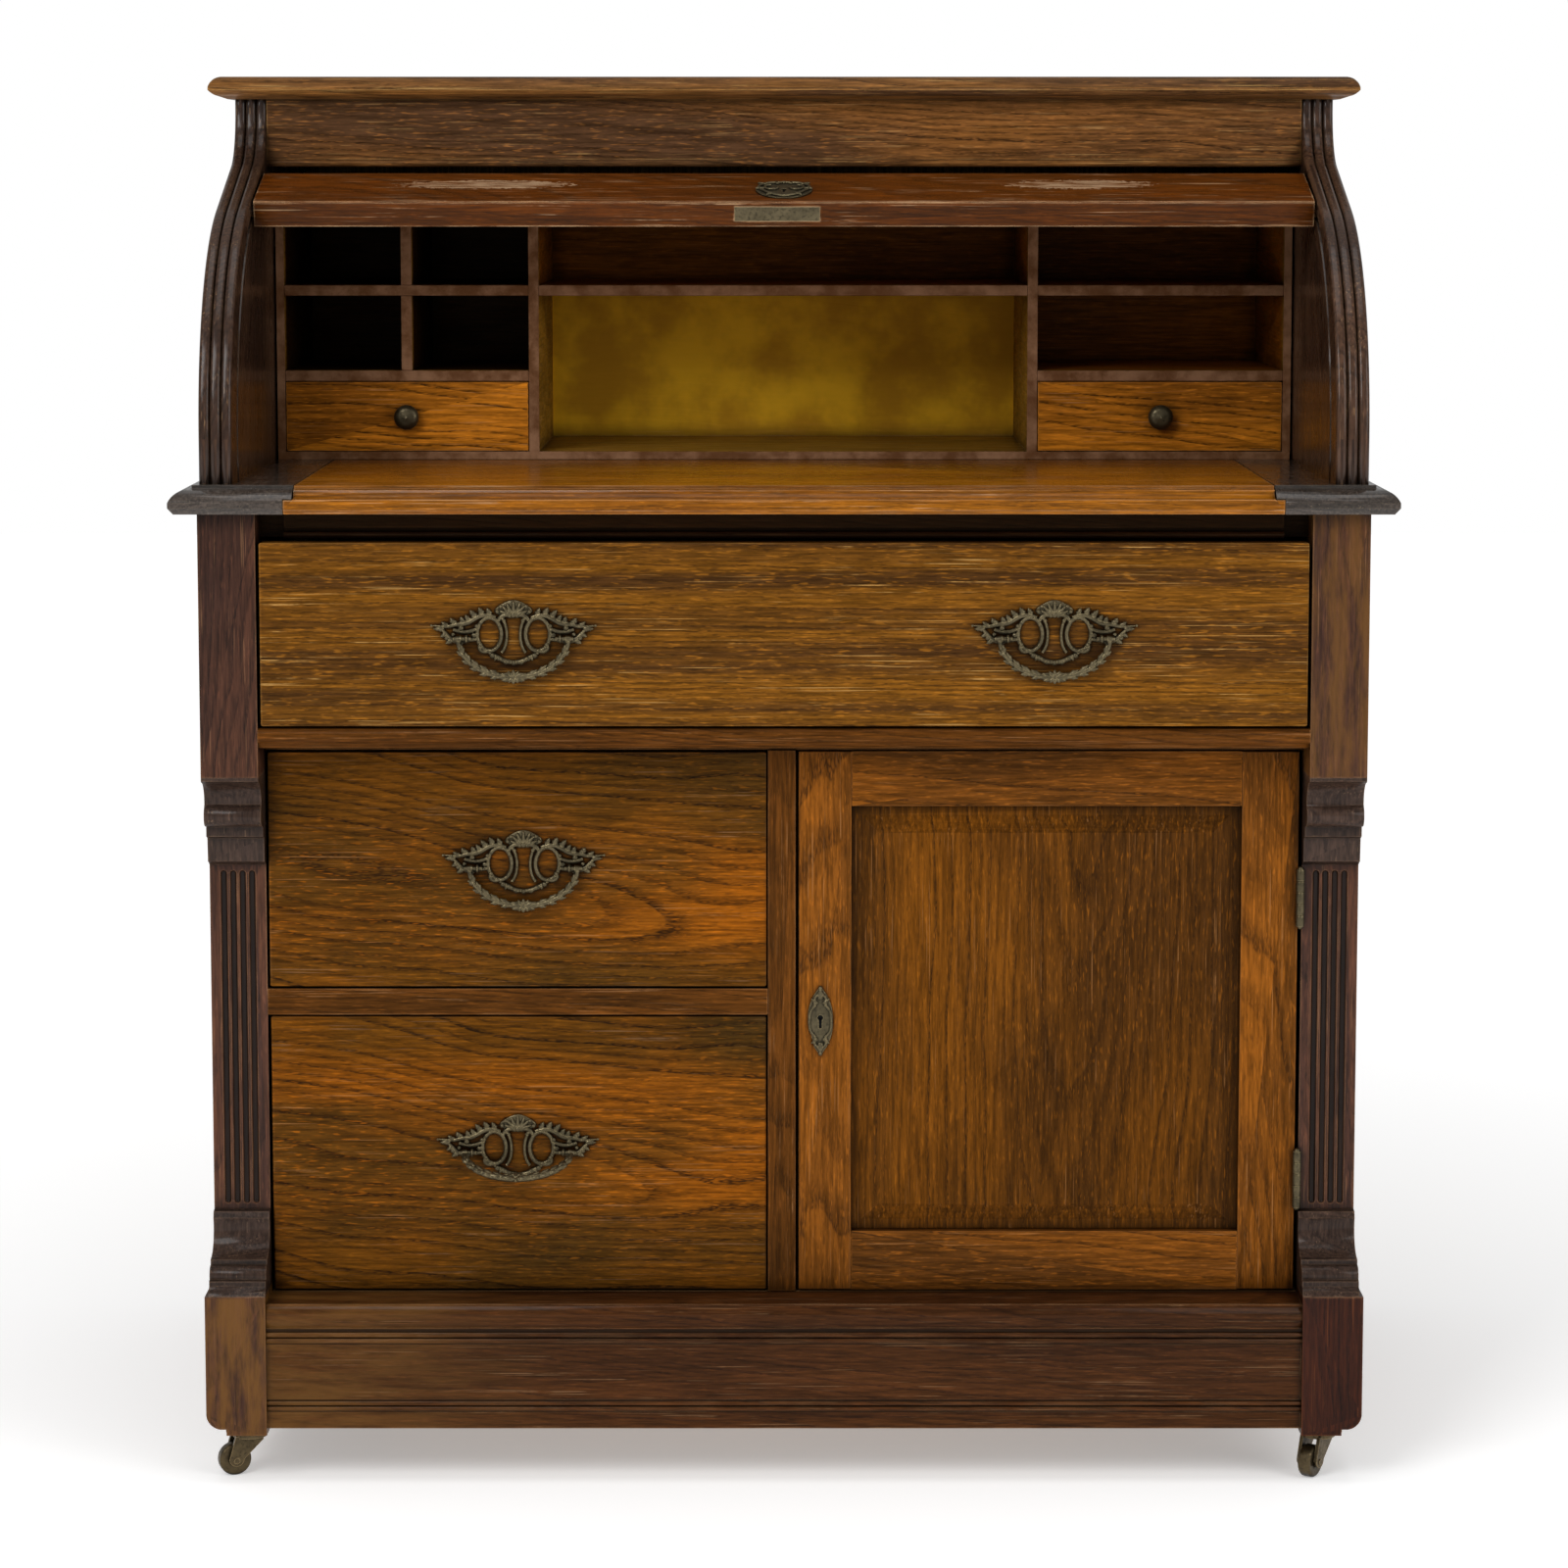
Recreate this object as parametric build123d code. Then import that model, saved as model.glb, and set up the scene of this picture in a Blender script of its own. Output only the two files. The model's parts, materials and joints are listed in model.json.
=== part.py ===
"""A roll top desk on casters: carcase, drawers, cupboard, writing slide, gallery and tambour roll.

Millimetres. +X to the sitter's right, +Y to the back, +Z up. The origin is on the floor, under the
middle of the desk. Depths are given as s, the distance behind the front plane of the carcase.
"""
import os
from math import atan2, cos, hypot, pi, radians, sin, sqrt

from build123d import *

os.makedirs("parts", exist_ok=True)

# ---------------------------------------------------------------- driving dimensions
FRONT_PLANE_Y = -272.0          # y of s = 0
BACK_S = 566.0                  # back of the desk
HALF_WIDTH = 457.0              # carcase, half its width
POST_WIDTH = 45.0
STEP_BACK = 45.0                # the lower storey stands this far behind the front plane
FOOT_Z = 41.0                   # underside of the posts, on top of the casters
PLINTH_Z = (46.0, 147.0)
BOARD_Z = (778.0, 800.0)        # writing board
BOARD_FRONT_S = -22.0
BOARD_HALF_WIDTH = 477.0
TOP_Z = (1101.6, 1120.0)
TOP_FRONT_S = 241.0
TOP_HALF_WIDTH = 475.5

OPENING = HALF_WIDTH - POST_WIDTH        # half the opening between the posts
REAR_POST_S = (521.0, BACK_S)
BACK_BOARD_S = (551.0, 563.0)
INNER_BACK_S = BACK_BOARD_S[0]
SIDE_FACE_X = (430.0, 452.0)             # inner and outer face of the side frames
BASE_BLOCK_Z = 154.0
BASE_BLOCK_PROUD = 3.0
CORBEL_Z = (494.0, 570.0)
BASE_MOULDING_Z = (BASE_BLOCK_Z, 215.0)

LEDGE_Z = (593.0, 609.0)                 # moulding under the long drawer
LONG_DRAWER_Z = (610.5, 754.5)
TOP_RAIL_Z = (757.0, 778.0)              # under the writing board
TOP_RAIL_HALF = 391.0                    # its front strip stops short of the posts
DRAWER_RAIL_Z = (373.0, 394.0)
UPPER_DRAWER_Z = (395.5, 584.5)
LOWER_DRAWER_Z = (148.5, 371.5)
MUNTIN_X = (-13.0, 9.4)
PARTITION_X = (-9.8, 6.2)
GUIDE_WIDTH = 18.0
DRAWER_BACK_S = 500.0

DOOR_X = (11.5, 409.0)
DOOR_Z = (148.5, 585.0)
DOOR_S = (45.5, 65.5)
DOOR_STILES = (42.0, 45.0)
DOOR_RAILS = (48.0, 44.0)                # bottom, top
HINGE_AXIS = (410.5, 41.0)               # x and s of the door's hinge pins
HINGE_CENTRES_Z = (240.0, 468.0)
HINGE_LENGTH = 46.0

SIDE_X = (429.5, 455.5)                  # inner and outer face of the curved sides
GALLERY_S = (305.0, 534.0)
GALLERY_HALF_WIDTH = 428.0
GALLERY_TOP_Z = 1007.0
FRIEZE_S = (262.0, 280.0)
FRIEZE_Z = 1046.0

ROLL_AXIS = (234.9, 829.3)               # s and z that the lead rail turns about
ROLL_TURN = 73.8                         # degrees from open to closed
ROLL_LINE_R = 194.5                      # radius of the slats' middle line
LEAD_RAIL_S = (30.0, 51.0)               # lead rail when closed
LEAD_RAIL_Z = (800.5, 883.5)
SLATS = 8
SLAT_PITCH = 35.3
SLAT_WIDTH = 33.3
SLAT_HALF_THICK = 4.0
LEAD_GAP = 3.5
ROLL_HALF_LENGTH = 428.0
GROOVE_DEPTH = 9.0

HANDLE_X = 211.0                         # handles of the long drawer, each side of the middle
PULL_SPAN = 43.0                         # half the bail, at its pivots
PULL_DROP = 33.0
PIVOT_STANDOFF = 7.0
RAISED_BAIL = 60.0                       # the lower drawer's bail rests raised, in degrees

CASTER_X = 430.0
CASTER_S = (38.0, 528.0)
WHEEL_R = 13.0
TRAIL = 13.0
CLEARANCE = 0.05                         # radial, on every pin


# ---------------------------------------------------------------- drawing helpers
def slab(x, s, z):
    """A board between the corners given by its ranges in x, s and z."""
    centre = Pos((x[0] + x[1]) / 2, (s[0] + s[1]) / 2 + FRONT_PLANE_Y, (z[0] + z[1]) / 2)
    return centre * Box(x[1] - x[0], s[1] - s[0], z[1] - z[0])


def mirrored(x):
    """The same range of x on the other side of the desk."""
    return (-x[1], -x[0])


def both_sides(solid):
    """A solid and its mirror image across the middle of the desk."""
    return [solid, mirror(solid, about=Plane.YZ)]


def outline(start, *steps):
    """A closed face. A step is a point for a straight run, or a point and a rise for an arc:
    the arc's middle stands that far to the left of its chord."""
    edges = []
    here = tuple(start)
    for step in steps:
        end = step[:2]
        rise = step[2] if len(step) == 3 else 0
        if rise:
            run = (end[0] - here[0], end[1] - here[1])
            length = hypot(*run)
            middle = (
                (here[0] + end[0]) / 2 - run[1] / length * rise,
                (here[1] + end[1]) / 2 + run[0] / length * rise,
            )
            edges.append(ThreePointArc(here, middle, end))
        else:
            edges.append(Line(here, end))
        here = end
    if here != start:
        edges.append(Line(here, start))
    return Face(Wire(edges))


def across(face, x):
    """Extrudes a side view, drawn in s and z, along the desk."""
    return Pos(x[0], FRONT_PLANE_Y, 0) * extrude(Plane.YZ * face, x[1] - x[0], dir=(1, 0, 0))


def backwards(face, s):
    """Extrudes a front view, drawn in x and z, from the front to the back."""
    return Pos(0, s[1] + FRONT_PLANE_Y, 0) * extrude(Plane.XZ * face, s[1] - s[0], dir=(0, -1, 0))


def rod_x(radius, x, s, z):
    """A round rod along the desk."""
    middle = Pos((x[0] + x[1]) / 2, s + FRONT_PLANE_Y, z)
    return middle * Rot(0, 90, 0) * Cylinder(radius, x[1] - x[0])


def rod_z(radius, x, s, z):
    """An upright round rod."""
    return Pos(x, s + FRONT_PLANE_Y, (z[0] + z[1]) / 2) * Cylinder(radius, z[1] - z[0])


def about_roll_axis(solid, turn):
    """Turns a solid about the roll's axis; a positive turn closes the roll."""
    y, z = ROLL_AXIS[0] + FRONT_PLANE_Y, ROLL_AXIS[1]
    return Pos(0, y, z) * Rot(turn, 0, 0) * Pos(0, -y, -z) * solid


def save(node, *solids):
    """Writes one sub-part, which may be a group of separate solids."""
    shape = solids[0] if len(solids) == 1 else Compound(list(solids))
    export_step(shape, f"parts/{node}.step")


# ---------------------------------------------------------------- carcase
def front_post():
    """The right front post: base block, fluted pilaster and upper block in one timber."""
    inner, outer = OPENING, HALF_WIDTH
    proud = outer + BASE_BLOCK_PROUD
    shaft = slab((inner, outer), (STEP_BACK, 90), (BASE_BLOCK_Z, BOARD_Z[0]))
    block = slab((inner, outer), (0, STEP_BACK), (CORBEL_Z[1], BOARD_Z[0]))
    foot = outline(
        (inner, BASE_BLOCK_Z),
        (inner, FOOT_Z),
        (outer - 13, FOOT_Z),
        (outer - 13, PLINTH_Z[0]),
        (outer - 8, PLINTH_Z[0]),
        (proud, PLINTH_Z[0] + 12, -3),
        (proud, BASE_BLOCK_Z),
    )
    post = shaft + block + backwards(foot, (0, 90))
    flute_r = 2.7
    ends = (222.0, 487.0)
    for step in (-1.5, -0.5, 0.5, 1.5):
        x = (inner + outer) / 2 + step * 7.5
        s = STEP_BACK - 0.7
        post -= rod_z(flute_r, x, s, ends)
        for z in ends:
            post -= Pos(x, s + FRONT_PLANE_Y, z) * Sphere(flute_r)
    return post


def corbel():
    """The moulding that steps from the upper block back to the pilaster."""
    top, foot = CORBEL_Z[1], CORBEL_Z[0]
    face = outline(
        (STEP_BACK, top),
        (0, top),
        (0, top - 3),
        (3, top - 4.5),
        (19, top - 24, 5),
        (17, top - 26),
        (23, top - 42, -6),
        (28, top - 43),
        (28, top - 51),
        (34, top - 53),
        (36, top - 72),
        (41, foot + 2),
        (STEP_BACK, foot),
    )
    return across(face, (OPENING, HALF_WIDTH))


def base_moulding():
    """The moulding that comes forward from the pilaster to the base block."""
    foot, top = BASE_MOULDING_Z
    face = outline(
        (STEP_BACK, top),
        (39, top - 1),
        (37, top - 6),
        (21, top - 34, 8),
        (17, top - 35),
        (17, top - 39),
        (9, top - 49, -3.5),
        (6, top - 50),
        (6, top - 54),
        (2, top - 57),
        (0, foot),
        (STEP_BACK, foot),
    )
    return across(face, (OPENING, HALF_WIDTH))


def side_frame():
    """The right side's rear post and its two rails."""
    rear_post = slab((OPENING, HALF_WIDTH), REAR_POST_S, (FOOT_Z, BOARD_Z[0]))
    between = (90, REAR_POST_S[0])
    top_rail = slab(SIDE_FACE_X, between, (716, BOARD_Z[0]))
    foot_rail = slab(SIDE_FACE_X, between, (PLINTH_Z[0] + 4, 150))
    return [rear_post, top_rail, foot_rail]


def raised_panel(width, height, thickness, field_rise, bevel):
    """A fielded panel, face up, its middle at the origin and its back at z = 0."""
    edge = thickness - field_rise
    margin = 8.0
    foot = Rectangle(width - 2 * margin, height - 2 * margin)
    crown = Rectangle(width - 2 * (margin + bevel), height - 2 * (margin + bevel))
    field = loft([Pos(0, 0, edge) * foot, Pos(0, 0, thickness) * crown])
    return Pos(0, 0, edge / 2) * Box(width, height, edge) + field


def side_panel():
    """The right side's panel, between the posts and the rails."""
    s = (90, REAR_POST_S[0])
    z = (150, 716)
    panel = raised_panel(s[1] - s[0], z[1] - z[0], 16, 4, 16)
    upright = Plane.YZ.location * panel
    return Pos(SIDE_FACE_X[0], (s[0] + s[1]) / 2 + FRONT_PLANE_Y, (z[0] + z[1]) / 2) * upright


def back_boards():
    """Upright boards that close the back below and above the writing board."""
    boards = []
    seam, count = 0.1, 9
    for half, z in ((OPENING, (60, BOARD_Z[0])), (SIDE_X[0], (BOARD_Z[1], TOP_Z[0]))):
        width = 2 * half / count
        for number in range(count):
            left = -half + number * width
            boards.append(slab((left + seam / 2, left + width - seam / 2), BACK_BOARD_S, z))
    return boards


def plinth():
    """The skirting between the base blocks, with its ledge, broad nosing and two pairs of beads."""
    foot, top = PLINTH_Z
    face_s = 4.0

    def pair_of_beads(z, size):
        lower = [(face_s, z - number * size, -0.44 * size) for number in (1, 2)]
        return [(face_s, z), *lower]

    face = outline(
        (STEP_BACK + 1, top),
        (face_s + 1, top),
        (face_s, top - 1.5),
        (face_s, top - 19, -2.8),
        *pair_of_beads(top - 22, 5.0),
        *pair_of_beads(foot + 23, 4.5),
        (face_s, foot),
        (26, foot),
        (26, 129),
        (STEP_BACK + 1, 129),
    )
    return across(face, (-OPENING, OPENING))


def top_rail_face():
    """Side view of the front of the rail under the writing board: a band over a small bead."""
    foot, top = TOP_RAIL_Z
    groove = foot + 5.0
    return outline(
        (30, foot),
        (30, top),
        (17, top),
        (17, groove + 3),
        (21, groove + 2.5),
        (21, groove + 0.5),
        (15, groove),
        (15, foot, -1.5),
    )


def front_rails():
    """The rails between the posts, from the top down."""
    full = (-OPENING, OPENING)
    nose = outline(
        (70, LEDGE_Z[0]),
        (70, LEDGE_Z[1]),
        (3, LEDGE_Z[1]),
        (-2, LEDGE_Z[1] - 6, -1.5),
        (1, LEDGE_Z[0] + 4, -1),
        (4, LEDGE_Z[0]),
    )
    return [
        across(top_rail_face(), (-TOP_RAIL_HALF, TOP_RAIL_HALF)) + slab(full, (30, 40), TOP_RAIL_Z),
        across(nose, full),
        slab(full, (STEP_BACK + 2, 70), (586, LEDGE_Z[0])),
        slab((-OPENING, MUNTIN_X[0]), (STEP_BACK, 70), DRAWER_RAIL_Z),
    ]


def centre_partition():
    """The upright between the two drawers and the cupboard."""
    return [
        slab(MUNTIN_X, (STEP_BACK, 70), (PLINTH_Z[1], 586)),
        slab(PARTITION_X, (70, INNER_BACK_S), (PLINTH_Z[1], 595)),
    ]


def dust_boards():
    """Boards that the drawers run on, with a guide strip at each side."""
    behind_rail = (70, INNER_BACK_S)
    pieces = [
        slab((-OPENING, OPENING), behind_rail, (595, LEDGE_Z[1])),
        slab((-OPENING, PARTITION_X[0]), behind_rail, (376, DRAWER_RAIL_Z[1])),
    ]
    strip = (-SIDE_FACE_X[0], -OPENING)
    between_posts = (90, REAR_POST_S[0])
    for z in ((129, 190), (376, 430), (595, 650)):
        pieces.append(slab(strip, between_posts, z))
    for z in ((129, PLINTH_Z[1]), (595, 650)):
        pieces.append(slab(mirrored(strip), between_posts, z))
    return pieces


def cupboard_shelf():
    """The shelf in the cupboard, on a cleat at each end."""
    left, right = PARTITION_X[1], SIDE_FACE_X[0]
    shelf = slab((left, right), (100, REAR_POST_S[0]), (350, 362))
    cleats = [slab(x, (110, 510), (334, 350)) for x in ((left, left + 12), (right - 12, right))]
    return [shelf, *cleats]


# ---------------------------------------------------------------- writing board
END_INNER_X = 388.0             # joint between the fixed ends and the writing slide, below
END_LIP_X = 381.0               # the same joint above, where the ends lap over the slide
LAP_Z = 790.0


def thumb_edge(front, foot, top, back):
    """Side view of a board whose front edge is a thumb moulding under a small fillet."""
    return outline(
        (front + 4, foot),
        (back, foot),
        (back, top),
        (front + 17, top),
        (front + 17, top - 2.5),
        (front + 15, top - 3),
        (front, top - 13, -2.8),
        (front, top - 17),
    )


def writing_end():
    """The right fixed end of the writing board, moulded at the front and along its side."""
    foot, top = BOARD_Z
    front_edge = across(thumb_edge(BOARD_FRONT_S, foot, top, BACK_S), (END_LIP_X, BOARD_HALF_WIDTH))
    side_view = thumb_edge(-BOARD_HALF_WIDTH, foot, top, -END_LIP_X)
    side_edge = mirror(backwards(side_view, (BOARD_FRONT_S, BACK_S)), about=Plane.YZ)
    board = front_edge & side_edge
    return board - slab((END_LIP_X - 1, END_INNER_X), (BOARD_FRONT_S - 1, BACK_S + 1), (foot - 1, LAP_Z))


def writing_slide():
    """The middle of the writing board, which pulls forward between the ends."""
    gap = 0.6
    foot, top = BOARD_Z[0] + 0.4, BOARD_Z[1] - 0.3
    front, back = BOARD_FRONT_S, 530.0
    face = outline(
        (front + 2, foot),
        (back, foot),
        (back, top),
        (front + 15, top),
        (front + 15, top - 2.5),
        (front + 11, top - 3.2),
        (front + 4, top - 9.5, 1.6),
        (front, top - 9.8),
        (front, foot + 3),
    )
    wide = END_INNER_X - gap
    board = across(face, (-wide, wide))
    for side in (1, -1):
        lap = sorted((side * (END_LIP_X - gap), side * (wide + 1)))
        board -= slab(lap, (front - 1, back + 1), (LAP_Z - gap, top + 1))
    return board


def writing_bed():
    """The fixed board under the slide, and the strip behind it."""
    return [
        slab((-OPENING, OPENING), (40, INNER_BACK_S), (762, BOARD_Z[0])),
        slab((-END_LIP_X, END_LIP_X), (532, INNER_BACK_S), BOARD_Z),
    ]


# ---------------------------------------------------------------- upper case
SIDE_FRONT_S = 3.0
SIDE_BOW = (191.0, 835.0, 188.0)        # s, z and radius of the side's round front
SIDE_SLOPE = 19.5                       # degrees
SIDE_SLOPE_RUN = 106.0
SIDE_COVE_R = 50.0


def sagitta(radius, a, b):
    """How far an arc of this radius rises from the chord between two points."""
    half_chord = hypot(b[0] - a[0], b[1] - a[1]) / 2
    return radius - sqrt(radius**2 - half_chord**2)


def side_outline():
    """The S-shaped outline of a curved side, drawn in s and z."""
    s, z, radius = SIDE_BOW
    slope = radians(SIDE_SLOPE)
    bow_start = (SIDE_FRONT_S, z)
    bow_end = (s - radius * sin(slope), z + radius * cos(slope))
    cove_start = (bow_end[0] + SIDE_SLOPE_RUN * cos(slope), bow_end[1] + SIDE_SLOPE_RUN * sin(slope))
    cove_end = (
        cove_start[0] + SIDE_COVE_R * (1 - sin(slope)),
        cove_start[1] + SIDE_COVE_R * cos(slope),
    )
    return outline(
        (SIDE_FRONT_S, BOARD_Z[1]),
        bow_start,
        (*bow_end, sagitta(radius, bow_start, bow_end)),
        cove_start,
        (*cove_end, -sagitta(SIDE_COVE_R, cove_start, cove_end)),
        (cove_end[0], TOP_Z[0]),
        (BACK_S, TOP_Z[0]),
        (BACK_S, BOARD_Z[1]),
    )


def roll_groove():
    """The groove that the roll's lead rail runs in, in the right side."""
    x = (SIDE_X[0] - 1, SIDE_X[0] + GROOVE_DEPTH)
    s, z = ROLL_AXIS
    inner, outer = ROLL_LINE_R - 4, ROLL_LINE_R + 4
    ring = rod_x(outer, x, s, z) - rod_x(inner, x, s, z)
    front_half = slab(x, (s - outer - 1, s), (BOARD_Z[1] - 20, z + outer + 1))
    straight = slab(x, (s, 522), (z + inner, z + outer))
    return (ring & front_half) + straight


def curved_side():
    """The right curved side, its front edge worked into three reeds."""
    reeds = 3
    width = (SIDE_X[1] - SIDE_X[0]) / reeds
    edge_radius = 3.2
    side = None
    for number in range(reeds):
        left = SIDE_X[0] + number * width
        layer = across(side_outline(), (left, left + width))
        edges = [
            edge for edge in layer.edges()
            if edge.bounding_box().size.X < 0.01
            and BOARD_Z[1] + 1 < edge.center().Z < TOP_Z[0] - 1
            and edge.center().Y < FRIEZE_S[0] + FRONT_PLANE_Y
        ]
        layer = fillet(edges, edge_radius)
        side = layer if side is None else side + layer
    return side - roll_groove()


def top_edge(front, back):
    """Side view of the top board, rounded over its front edge and cut back below."""
    foot, top = TOP_Z
    return outline(
        (front + 15, foot),
        (back, foot),
        (back, top),
        (front + 10, top),
        (front, top - 9, -2.2),
        (front, top - 11),
        (front + 8, top - 16, -0.8),
    )


def top_board():
    """The top, moulded along its front and both ends."""
    span = (-TOP_HALF_WIDTH, TOP_HALF_WIDTH)
    depth = (TOP_FRONT_S, BACK_S)
    board = across(top_edge(TOP_FRONT_S, BACK_S), span)
    left_end = backwards(top_edge(-TOP_HALF_WIDTH, TOP_HALF_WIDTH + 1), depth)
    return board & left_end & mirror(left_end, about=Plane.YZ)


def frieze():
    """The board under the top, with a bead along its foot."""
    span = (-SIDE_X[0], SIDE_X[0])
    bead_top = FRIEZE_Z + 6
    bead = outline(
        (FRIEZE_S[0], FRIEZE_Z),
        (FRIEZE_S[1], FRIEZE_Z),
        (FRIEZE_S[1], bead_top),
        (FRIEZE_S[0], bead_top),
        (FRIEZE_S[0], FRIEZE_Z, -2.9),
    )
    return [slab(span, FRIEZE_S, (bead_top, TOP_Z[0])), across(bead, span)]


# ---------------------------------------------------------------- gallery
GALLERY_FLOOR_Z = BOARD_Z[1] + 6.5
DRAWER_SHELF_Z = (866.0, 875.0)
MID_SHELF_Z = (938.0, 947.0)
GALLERY_ROOF_Z = GALLERY_TOP_Z - 7
PARTITION_LEFT = (-215.5, -207.0)
PARTITION_RIGHT = (205.5, 214.0)
DIVIDER_X = (-323.0, -314.0)
GALLERY_BACK_S = GALLERY_S[1] - 6
GALLERY_INNER = GALLERY_HALF_WIDTH - 6.5


def gallery_case():
    """Floor, roof, ends, back and the two tall partitions."""
    half = GALLERY_HALF_WIDTH
    walls_z = (GALLERY_FLOOR_Z, GALLERY_ROOF_Z)
    inside = (GALLERY_S[0], GALLERY_BACK_S)
    return [
        slab((-half, half), GALLERY_S, (BOARD_Z[1], GALLERY_FLOOR_Z)),
        slab((-half, half), GALLERY_S, (GALLERY_ROOF_Z, GALLERY_TOP_Z)),
        *both_sides(slab((GALLERY_INNER, half), inside, walls_z)),
        slab((-half, half), (GALLERY_BACK_S, GALLERY_S[1]), walls_z),
        slab(PARTITION_LEFT, inside, walls_z),
        slab(PARTITION_RIGHT, inside, walls_z),
    ]


def gallery_shelves():
    """Shelves between the partitions, and the divider in the left bay."""
    inside = (GALLERY_S[0], GALLERY_BACK_S)
    left = (-GALLERY_INNER, PARTITION_LEFT[0])
    middle = (PARTITION_LEFT[1], PARTITION_RIGHT[0])
    right = (PARTITION_RIGHT[1], GALLERY_INNER)
    pieces = [slab(bay, inside, MID_SHELF_Z) for bay in (left, middle, right)]
    pieces += [slab(bay, inside, DRAWER_SHELF_Z) for bay in (left, right)]
    pieces.append(slab(DIVIDER_X, inside, (DRAWER_SHELF_Z[1], MID_SHELF_Z[0])))
    pieces.append(slab(DIVIDER_X, inside, (MID_SHELF_Z[1], GALLERY_ROOF_Z)))
    return pieces


def gallery_drawer(bay):
    """A small drawer: front, two sides, back and bottom."""
    gap = 0.6
    x = (bay[0] + gap, bay[1] - gap)
    z = (GALLERY_FLOOR_Z + gap, DRAWER_SHELF_Z[0] - gap)
    s = (GALLERY_S[0] + gap, GALLERY_BACK_S - 8)
    front = slab(x, (s[0], s[0] + 9), z)
    box = drawer_box(x, (s[0] + 9, s[1]), (z[0], z[1] - 4), 6)
    return [front, *box]


def turned_knob(x, z):
    """A small turned knob on a gallery drawer."""
    profile = outline(
        (0, 0),
        (5.5, 0),
        (3.6, 3.5, -0.6),
        (4.2, 6.5),
        (9.6, 9.5, -1.2),
        (9.8, 12.5, -0.8),
        (5, 15.2, -0.6),
        (0, 16),
    )
    knob = revolve(Plane.XZ * profile, Axis.Z)
    face_s = GALLERY_S[0] + 0.6
    return Pos(x, face_s + FRONT_PLANE_Y, z) * Rot(90, 0, 0) * knob


# ---------------------------------------------------------------- drawers
def drawer_box(x, s, z, thick):
    """Two sides, a back and a bottom, as four solids."""
    inside_x = (x[0] + thick, x[1] - thick)
    bottom_z = (z[0] + 3, z[0] + 3 + thick * 0.6)
    return [
        slab((x[0], x[0] + thick), s, z),
        slab((x[1] - thick, x[1]), s, z),
        slab(inside_x, (s[1] - thick, s[1]), z),
        slab(inside_x, (s[0], s[1] - thick), bottom_z),
    ]


def save_drawer(name, x, s_front, z, handles):
    """Writes a drawer's front, its box, its backplates and its bails."""
    front_thick = 20.0
    save(f"{name}_front", slab(x, (s_front, s_front + front_thick), z))
    box_x = (x[0] + 1, x[1] - 1)
    box_s = (s_front + front_thick, DRAWER_BACK_S)
    save(f"{name}_box", *drawer_box(box_x, box_s, (z[0], z[1] - 8), 12))
    save(f"{name}_plates", *[backplate(handle_x, s_front, handle_z) for handle_x, handle_z, _ in handles])
    for number, (handle_x, handle_z, raised) in enumerate(handles):
        suffix = ("_left", "_right")[number] if len(handles) == 2 else ""
        save(f"{name}_bail{suffix}", bail(handle_x, s_front, handle_z, raised))


# ---------------------------------------------------------------- handles
PLATE_THICK = 2.2
PIN_R = 1.7
BAIL_R = 2.3
EAR_X = (33.5, 39.5)


def backplate(x, s, z):
    """A pierced backplate with an ear at each end for the bail; z is the pivots' height."""
    half = [
        (0, 29.4), (9, 26), (19, 20.5), (28, 22), (38, 17.5), (50, 12.5), (63, 9), (52, 1),
        (43, -5.5), (31, -4), (22, -12.5), (12, -18.5),
    ]
    points = half + [(0, -20.7)] + [(-u, v) for u, v in reversed(half[1:])]
    plate = backwards(outline(*points), (-PLATE_THICK, 0))
    for side in (1, -1):
        eye = Pos(side * 17.4, FRONT_PLANE_Y, 3.6) * Rot(90, 0, 0) * extrude(Ellipse(7.2, 10.2), 10, both=True)
        plate -= eye
        ear_x = sorted((side * EAR_X[0], side * EAR_X[1]))
        ear = rod_x(3.3, ear_x, -PIVOT_STANDOFF, 0)
        ear += slab(ear_x, (-PIVOT_STANDOFF, -PLATE_THICK + 0.5), (-2.6, 2.6))
        plate += ear - rod_x(PIN_R + CLEARANCE, (ear_x[0] - 1, ear_x[1] + 1), -PIVOT_STANDOFF, 0)
    keyhole = outline(
        (-5.5, 13), (-2.6, 1, 1), (-6.5, -8, -1), (-3, -12.5), (3, -12.5), (6.5, -8), (2.6, 1, -1), (5.5, 13, 1),
    )
    plate -= backwards(keyhole, (-5, 1))
    return Pos(x, s, z) * plate


def bail(x, s, z, raised):
    """A hanging bail with a pin turned in at each end."""
    loop = EllipticalCenterArc((0, 0), PULL_SPAN, PULL_DROP, 180, arc_size=180)
    loop = Plane.XZ * loop
    section = Plane(loop @ 0, z_dir=loop % 0) * Circle(BAIL_R)
    ring = sweep(section, path=loop)
    for side in (1, -1):
        pin_x = sorted((side * (EAR_X[0] - 0.5), side * PULL_SPAN))
        ring += Pos(0, -FRONT_PLANE_Y, 0) * rod_x(PIN_R, pin_x, 0, 0)
        ring += Pos(side * PULL_SPAN, 0, 0) * Sphere(BAIL_R)
    turned = Rot(-raised, 0, 0) * ring
    return Pos(x, s + FRONT_PLANE_Y - PIVOT_STANDOFF, z) * turned


# ---------------------------------------------------------------- door
def door_frame():
    """Two stiles and two rails."""
    left, right = DOOR_X
    foot, top = DOOR_Z
    inner = (left + DOOR_STILES[0], right - DOOR_STILES[1])
    return [
        slab((left, inner[0]), DOOR_S, DOOR_Z),
        slab((inner[1], right), DOOR_S, DOOR_Z),
        slab(inner, DOOR_S, (foot, foot + DOOR_RAILS[0])),
        slab(inner, DOOR_S, (top - DOOR_RAILS[1], top)),
    ]


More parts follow.
